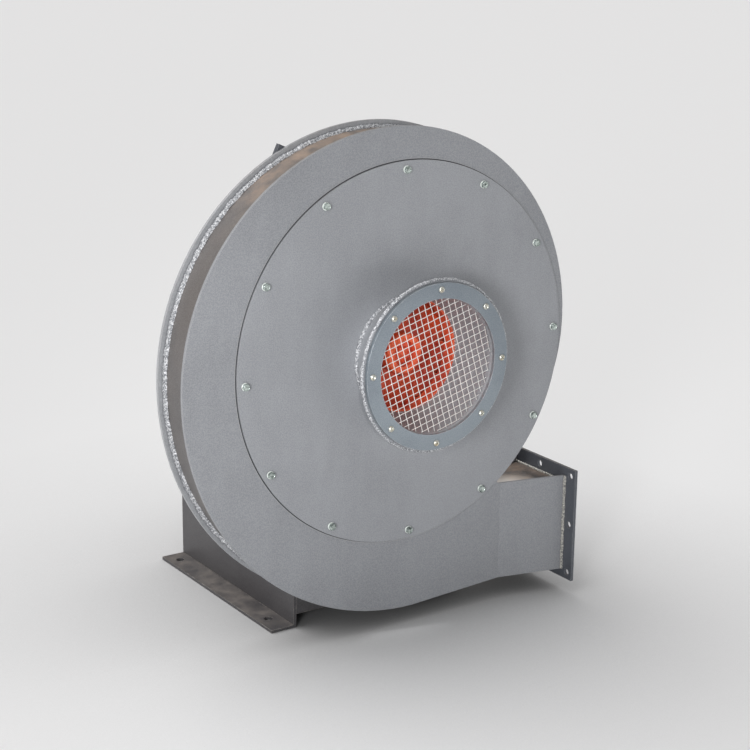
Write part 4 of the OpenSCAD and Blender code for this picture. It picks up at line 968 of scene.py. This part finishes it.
@dataclass
class Fasteners:
    """Screws and washers with their chamfers, domes and recesses, in place of the plain CAD ones.

    The head's top and dish, the washer's ease, the pan's falls and the cross are shares of the
    sizes of the head or washer that has them. A dish entry is a radius and a depth.
    """

    finishes: Finishes
    seed: int = 7
    cover_circle: float = 280.0 * MM
    cover_count: int = 12
    cover_start: float = 1.33
    head_across: float = 10.0 * MM
    head_height: float = 4.0 * MM
    washer_r: float = 6.0 * MM
    washer_bore: float = 3.1 * MM
    washer_t: float = 1.6 * MM
    ring_circle: float = 116.0 * MM
    ring_count: int = 8
    ring_start: float = -0.95
    pan_r: float = 4.8 * MM
    pan_height: float = 3.0 * MM
    head_sides: int = 72
    head_top: float = 0.475
    head_chamfer: float = math.radians(28.0)
    head_dish: tuple[tuple[float, float], ...] = ((1.0, 0.0), (0.86, 0.0), (0.80, 0.08), (0.3, 0.10))
    head_turn: float = 1.05
    washer_sides: int = 48
    washer_ease: float = 0.25
    pan_sides: int = 56
    pan_rings: int = 14
    pan_rim_fall: float = 0.55
    pan_dome_fall: float = 0.12
    cross_half: float = 0.14
    cross_reach: float = 0.58
    cross_depth: float = 0.6
    cross_turn: float = 1.5

    @staticmethod
    def hexagon(angle: float, across: float) -> float:
        """Returns a hexagon's radius at an angle, from its width across flats."""
        sixth = math.pi / 3.0
        return across / 2.0 / math.cos(angle % sixth - sixth / 2.0)

    def hex_head(self, piece: Piece, across: float, height: float, spin: float, matrix: Matrix) -> None:
        """Adds a chamfered hexagon head that stands up along Z from its seat.

        Args:
            piece: The mesh that it joins.
            across: The width across flats.
            height: The head's height.
            spin: The angle that it is turned to.
            matrix: The place of its seat.
        """
        start, sides = len(piece.points), self.head_sides
        top_r = across * self.head_top
        turns = [2.0 * math.pi * i / sides for i in range(sides)]
        rows: list[Points] = []
        outer = [self.hexagon(a, across) for a in turns]
        fall = math.tan(self.head_chamfer)
        for share in (0.0, 1.0):
            rows.append([
                Vector((math.cos(a + spin) * r, math.sin(a + spin) * r,
                        share * (height - max(0.0, r - top_r) * fall)))
                for a, r in zip(turns, outer)
            ])
        for inward, drop in self.head_dish:
            r = top_r * inward
            rows.append([
                Vector((math.cos(a + spin) * r, math.sin(a + spin) * r, height - drop * height))
                for a in turns
            ])
        piece.grid(rows).cap(rows[0], True).cap(rows[-1])
        piece.moved(matrix, start)

    def washer(self, piece: Piece, outer: float, inner: float, thick: float, matrix: Matrix) -> None:
        """Adds a washer with rounded rims that lies on its seat.

        Args:
            piece: The mesh that it joins.
            outer: The outer radius.
            inner: The hole's radius.
            thick: The thickness.
            matrix: The place of its seat.
        """
        start, sides, ease = len(piece.points), self.washer_sides, thick * self.washer_ease
        rim = ((outer - ease, thick), (outer, thick - ease), (outer, 0.0))
        profile = ((inner, 0.0), (inner, thick)) + rim
        rows = [
            [Vector((r * math.cos(t), r * math.sin(t), h)) for t in
             (2.0 * math.pi * i / sides for i in range(sides))]
            for r, h in profile
        ]
        piece.grid(rows, ring=True)
        piece.moved(matrix, start)

    def pan_head(self, piece: Piece, radius: float, height: float, spin: float, matrix: Matrix) -> None:
        """Adds a domed head with a cross recess.

        Args:
            piece: The mesh that it joins.
            radius: The head's radius.
            height: The head's height.
            spin: The angle of the cross.
            matrix: The place of its seat.
        """
        start, sides = len(piece.points), self.pan_sides
        rows: list[Points] = []
        for k in range(self.pan_rings + 1):
            share = 1.0 - k / self.pan_rings
            r = radius * share
            row = []
            for i in range(sides):
                angle = 2.0 * math.pi * i / sides
                x, y = r * math.cos(angle), r * math.sin(angle)
                dome = height * (1.0 - self.pan_rim_fall * share ** 6 - self.pan_dome_fall * share ** 2)
                across, along = sorted((abs(x), abs(y)))
                arm = across < radius * self.cross_half and along < radius * self.cross_reach
                row.append(Vector((x, y, dome - (height * self.cross_depth if arm else 0.0))))
            rows.append(row)
        seat = [Vector((p.x, p.y, 0.0)) for p in rows[0]]
        piece.grid([seat] + rows).cap(seat, True)
        piece.moved(Matrix.Rotation(spin, 4, "Z"), start)
        piece.moved(matrix, start)

    @staticmethod
    def facing_front(at: Vector) -> Matrix:
        """Returns the matrix that turns Z to the inlet side, at a point."""
        return Matrix.Translation(at) @ Matrix.Rotation(math.pi / 2.0, 4, "X")

    def build(self) -> None:
        """Makes the cover screws, their washers and the ring screws."""
        dice = random.Random(self.seed)
        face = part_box("cover_plate")[0].y
        heads, washers = Piece("cover_screw_heads"), Piece("cover_screw_washers")
        for i in range(self.cover_count):
            angle = math.radians(self.cover_start + 360.0 / self.cover_count * i)
            at = place(self.cover_circle, angle, face)
            self.washer(washers, self.washer_r, self.washer_bore, self.washer_t, self.facing_front(at))
            seat = self.facing_front(at + Vector((0.0, -self.washer_t, 0.0)))
            spin = dice.uniform(0.0, self.head_turn)
            self.hex_head(heads, self.head_across, self.head_height, spin, seat)
        own = self.finishes
        heads.build(Body.FRAME, Slot.ZINC, own.get(own.head), ("cover_screws",), sharp=25.0)
        washers.build(Body.FRAME, Slot.ZINC, own.get(own.washer), ("cover_washers",), sharp=50.0)
        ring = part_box("inlet_ring")[0].y
        pans = Piece("ring_screw_heads")
        for i in range(self.ring_count):
            angle = math.radians(self.ring_start + 360.0 / self.ring_count * i)
            seat = self.facing_front(place(self.ring_circle, angle, ring))
            spin = dice.uniform(0.0, self.cross_turn)
            self.pan_head(pans, self.pan_r, self.pan_height, spin, seat)
        pans.build(Body.FRAME, Slot.ZINC, own.get(own.zinc), ("ring_screws",), sharp=30.0)


@dataclass
class CableGland:
    """The terminal box's gland: its thread, hexagon, ribbed dome nut and open throat.

    Hex_top, rib_end, dome_end, dome_end_r and mouth_r are shares of the hexagon, of the dome
    nut's length or of its radius.
    """

    finishes: Finishes
    across: float = 24.0 * MM
    hex_t: float = 7.0 * MM
    cap_len: float = 18.0 * MM
    dome_r: float = 10.2 * MM
    thread_r: float = 9.9 * MM
    throat_r: float = 6.0 * MM
    chamfer: float = 0.8 * MM
    rib_start: float = 0.6 * MM
    rib_swell: float = 0.7 * MM
    ribs: int = 20
    sides: int = 160
    hex_top: float = 0.94
    rib_end: float = 0.7
    dome_end: float = 0.86
    dome_end_r: float = 0.93
    mouth_r: float = 0.72

    def ribbed(self, angle: float) -> float:
        """Returns the dome nut's radius at an angle, ribs included."""
        return self.dome_r + self.rib_swell * (0.5 + 0.5 * math.cos(self.ribs * angle))

    def plain(self, radius: float) -> list[float]:
        """Returns the radii of a round section."""
        return [radius] * self.sides

    def build(self) -> None:
        """Makes the gland, its axis along X."""
        low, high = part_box("cable_gland")
        middle = (low + high) / 2.0
        seat = high.x - self.cap_len - self.hex_t
        turns = [2.0 * math.pi * i / self.sides for i in range(self.sides)]
        flats = [Fasteners.hexagon(a, self.across) for a in turns]
        ribs = [self.ribbed(a) for a in turns]
        nut = seat + self.hex_t
        profile = (
            (low.x, self.plain(self.thread_r)),
            (seat, self.plain(self.thread_r)),
            (seat, flats),
            (nut - self.chamfer, flats),
            (nut, [self.hex_top * r for r in flats]),
            (nut, self.plain(self.dome_r)),
            (nut + self.rib_start, ribs),
            (nut + self.rib_end * self.cap_len, ribs),
            (nut + self.dome_end * self.cap_len, self.plain(self.dome_end_r * self.dome_r)),
            (high.x, self.plain(self.mouth_r * self.dome_r)),
            (high.x, self.plain(self.throat_r)),
            (low.x, self.plain(self.throat_r)),
        )
        rows = []
        for x, radii in profile:
            centre = Vector((x, middle.y, middle.z))
            rows.append([
                centre + Vector((0.0, r * math.cos(a), r * math.sin(a)))
                for a, r in zip(turns, radii)
            ])
        piece = Piece("ribbed_gland").grid(rows, ring=True)
        own = self.finishes
        piece.build(Body.FRAME, Slot.PLASTIC, own.get(own.plastic), ("cable_gland",), sharp=30.0)


@dataclass(frozen=True)
class Spot:
    """A spot lamp, with its place, its target, its cone in degrees, its watts and its radius."""

    name: str
    at: Xyz
    aim: Xyz
    cone: float
    power: float
    size: float


@dataclass
class Studio:
    """The pale floor, the soft lamps and the camera."""

    backdrop: float = 0.768
    paleness: Colour = (0.876, 0.879, 0.886)
    # painted shadow: how dark the floor is painted where the blower closes it in, how far it reaches and
    # its samples
    under: float = 0.24
    under_reach: float = 0.7
    under_samples: int = 8
    floor_half: float = 30.0
    sky: float = 0.45
    sky_front: Xyz = (0.35, -0.85, 0.40)
    sky_back_tint: Colour = (0.36, 0.31, 0.27)
    sky_turn: tuple[float, float] = (-0.5, 0.7)
    sun_way: Xyz = (0.45, -0.40, -1.0)
    sun_strength: float = 1.95
    sun_spread: float = 70.0
    spots: tuple[Spot, ...] = (
        Spot("left", (-2.0, -1.9, 0.95), (-0.30, -0.27, 0.48), 33.0, 205.0, 0.4),
        Spot("inlet", (-1.30, -2.35, 1.10), (0.0, -0.30, 0.415), 6.6, 110.0, 0.04),
        Spot("duct", (1.10, -0.235, 0.95), (0.225, -0.240, 0.1975), 7.0, 30.0, 0.03),
    )
    lens: float = 85.32
    sensor: float = 36.0
    view_end: float = 200.0
    eye: Xyz = (-1.4818, -2.3640, 1.1399)
    yaw: float = -0.5968
    pitch: float = -0.27891
    roll: float = -0.011091

    def camera(self) -> None:
        """Sets the camera at the photograph's viewpoint."""
        data = bpy.data.cameras.new("camera")
        data.lens = self.lens
        data.sensor_width = self.sensor
        data.clip_end = self.view_end
        made = bpy.data.objects.new("camera", data)
        turn = (Matrix.Rotation(self.yaw, 4, "Z") @ Matrix.Rotation(self.pitch, 4, "X")
                @ Matrix.Rotation(self.roll, 4, "Y") @ Matrix.Rotation(math.pi / 2.0, 4, "X"))
        made.matrix_world = Matrix.Translation(self.eye) @ turn
        bpy.context.scene.collection.objects.link(made)
        bpy.context.scene.camera = made

    @staticmethod
    def lamp(data: bpy.types.Light, at: Vector, way: Vector) -> None:
        """Puts a lamp at a place, shining along a way."""
        made = bpy.data.objects.new(data.name, data)
        made.location = at
        made.rotation_mode = "QUATERNION"
        made.rotation_quaternion = way.to_track_quat("-Z", "Y")
        bpy.context.scene.collection.objects.link(made)

    def sun(self) -> None:
        """Adds the soft sun that lights from above."""
        data = bpy.data.lights.new("top", "SUN")
        data.energy = self.sun_strength
        data.angle = math.radians(self.sun_spread)
        self.lamp(data, Vector(), Vector(self.sun_way))

    def spot(self, spot: Spot) -> None:
        """Adds a spot lamp."""
        data = bpy.data.lights.new(spot.name, "SPOT")
        data.energy = spot.power
        data.spot_size = math.radians(spot.cone)
        data.spot_blend = 1.0
        data.shadow_soft_size = spot.size
        self.lamp(data, Vector(spot.at), Vector(spot.aim) - Vector(spot.at))

    def world(self) -> None:
        """Sets a studio that is bright in front and dim and warm behind, with a pale backdrop."""
        world = bpy.data.worlds.new("studio")
        bpy.context.scene.world = world
        s = Shader("studio", world)
        way = s.node("ShaderNodeTexCoord", {}, {}, "Generated")
        inputs = {0: way, 1: Vector(self.sky_front).normalized()}
        facing = s.node("ShaderNodeVectorMath", {"operation": "DOT_PRODUCT"}, inputs, "Value")
        light = s.mix(self.sky_back_tint, WHITE, facing.between(*self.sky_turn))
        lit = s.node("ShaderNodeBackground", {}, {"Color": light, "Strength": self.sky})
        seen = s.node("ShaderNodeBackground", {}, {"Color": (self.backdrop,) * 3 + (1.0,)})
        rays = s.node("ShaderNodeLightPath", {}, {}, "Is Camera Ray")
        s.node_out(s.node("ShaderNodeMixShader", {}, {0: rays, 1: lit, 2: seen}), "ShaderNodeOutputWorld")

    def floor(self) -> None:
        """Lays a wide pale floor that keeps the blower's shadow, darkened near the blower by a painted
        shadow.
        """
        s = Shader("studio_floor")
        # painted shadow: the floor's tone darkens where the blower closes it in
        dim = tuple(self.under * c for c in self.paleness)
        tone = s.mix(dim, self.paleness, s.openness(self.under_reach, self.under_samples))
        s.node_out(s.node("ShaderNodeBsdfDiffuse", {}, {"Color": tone}))
        half = self.floor_half
        mesh = bpy.data.meshes.new("floor")
        corners = [(-half, -half, 0), (half, -half, 0), (half, half, 0), (-half, half, 0)]
        mesh.from_pydata(corners, [], [(0, 1, 2, 3)])
        mesh.materials.append(s.owner)
        made = bpy.data.objects.new("floor", mesh)
        bpy.context.scene.collection.objects.link(made)

    def build(self) -> None:
        """Sets up the whole studio."""
        bpy.context.scene.view_settings.view_transform = "Standard"
        self.camera()
        self.world()
        self.floor()
        self.sun()
        for spot in self.spots:
            self.spot(spot)


def main() -> None:
    """Builds the studio and every piece, in order."""
    logging.basicConfig(level=logging.INFO, format="%(name)s %(message)s")
    Studio().build()
    finishes = Finishes()
    CadSkin(finishes).dress()
    WeldBeads(finishes).build()
    WireGuard(finishes).build()
    Fasteners(finishes).build()
    CableGland(finishes).build()


if __name__ == "__main__":
    main()
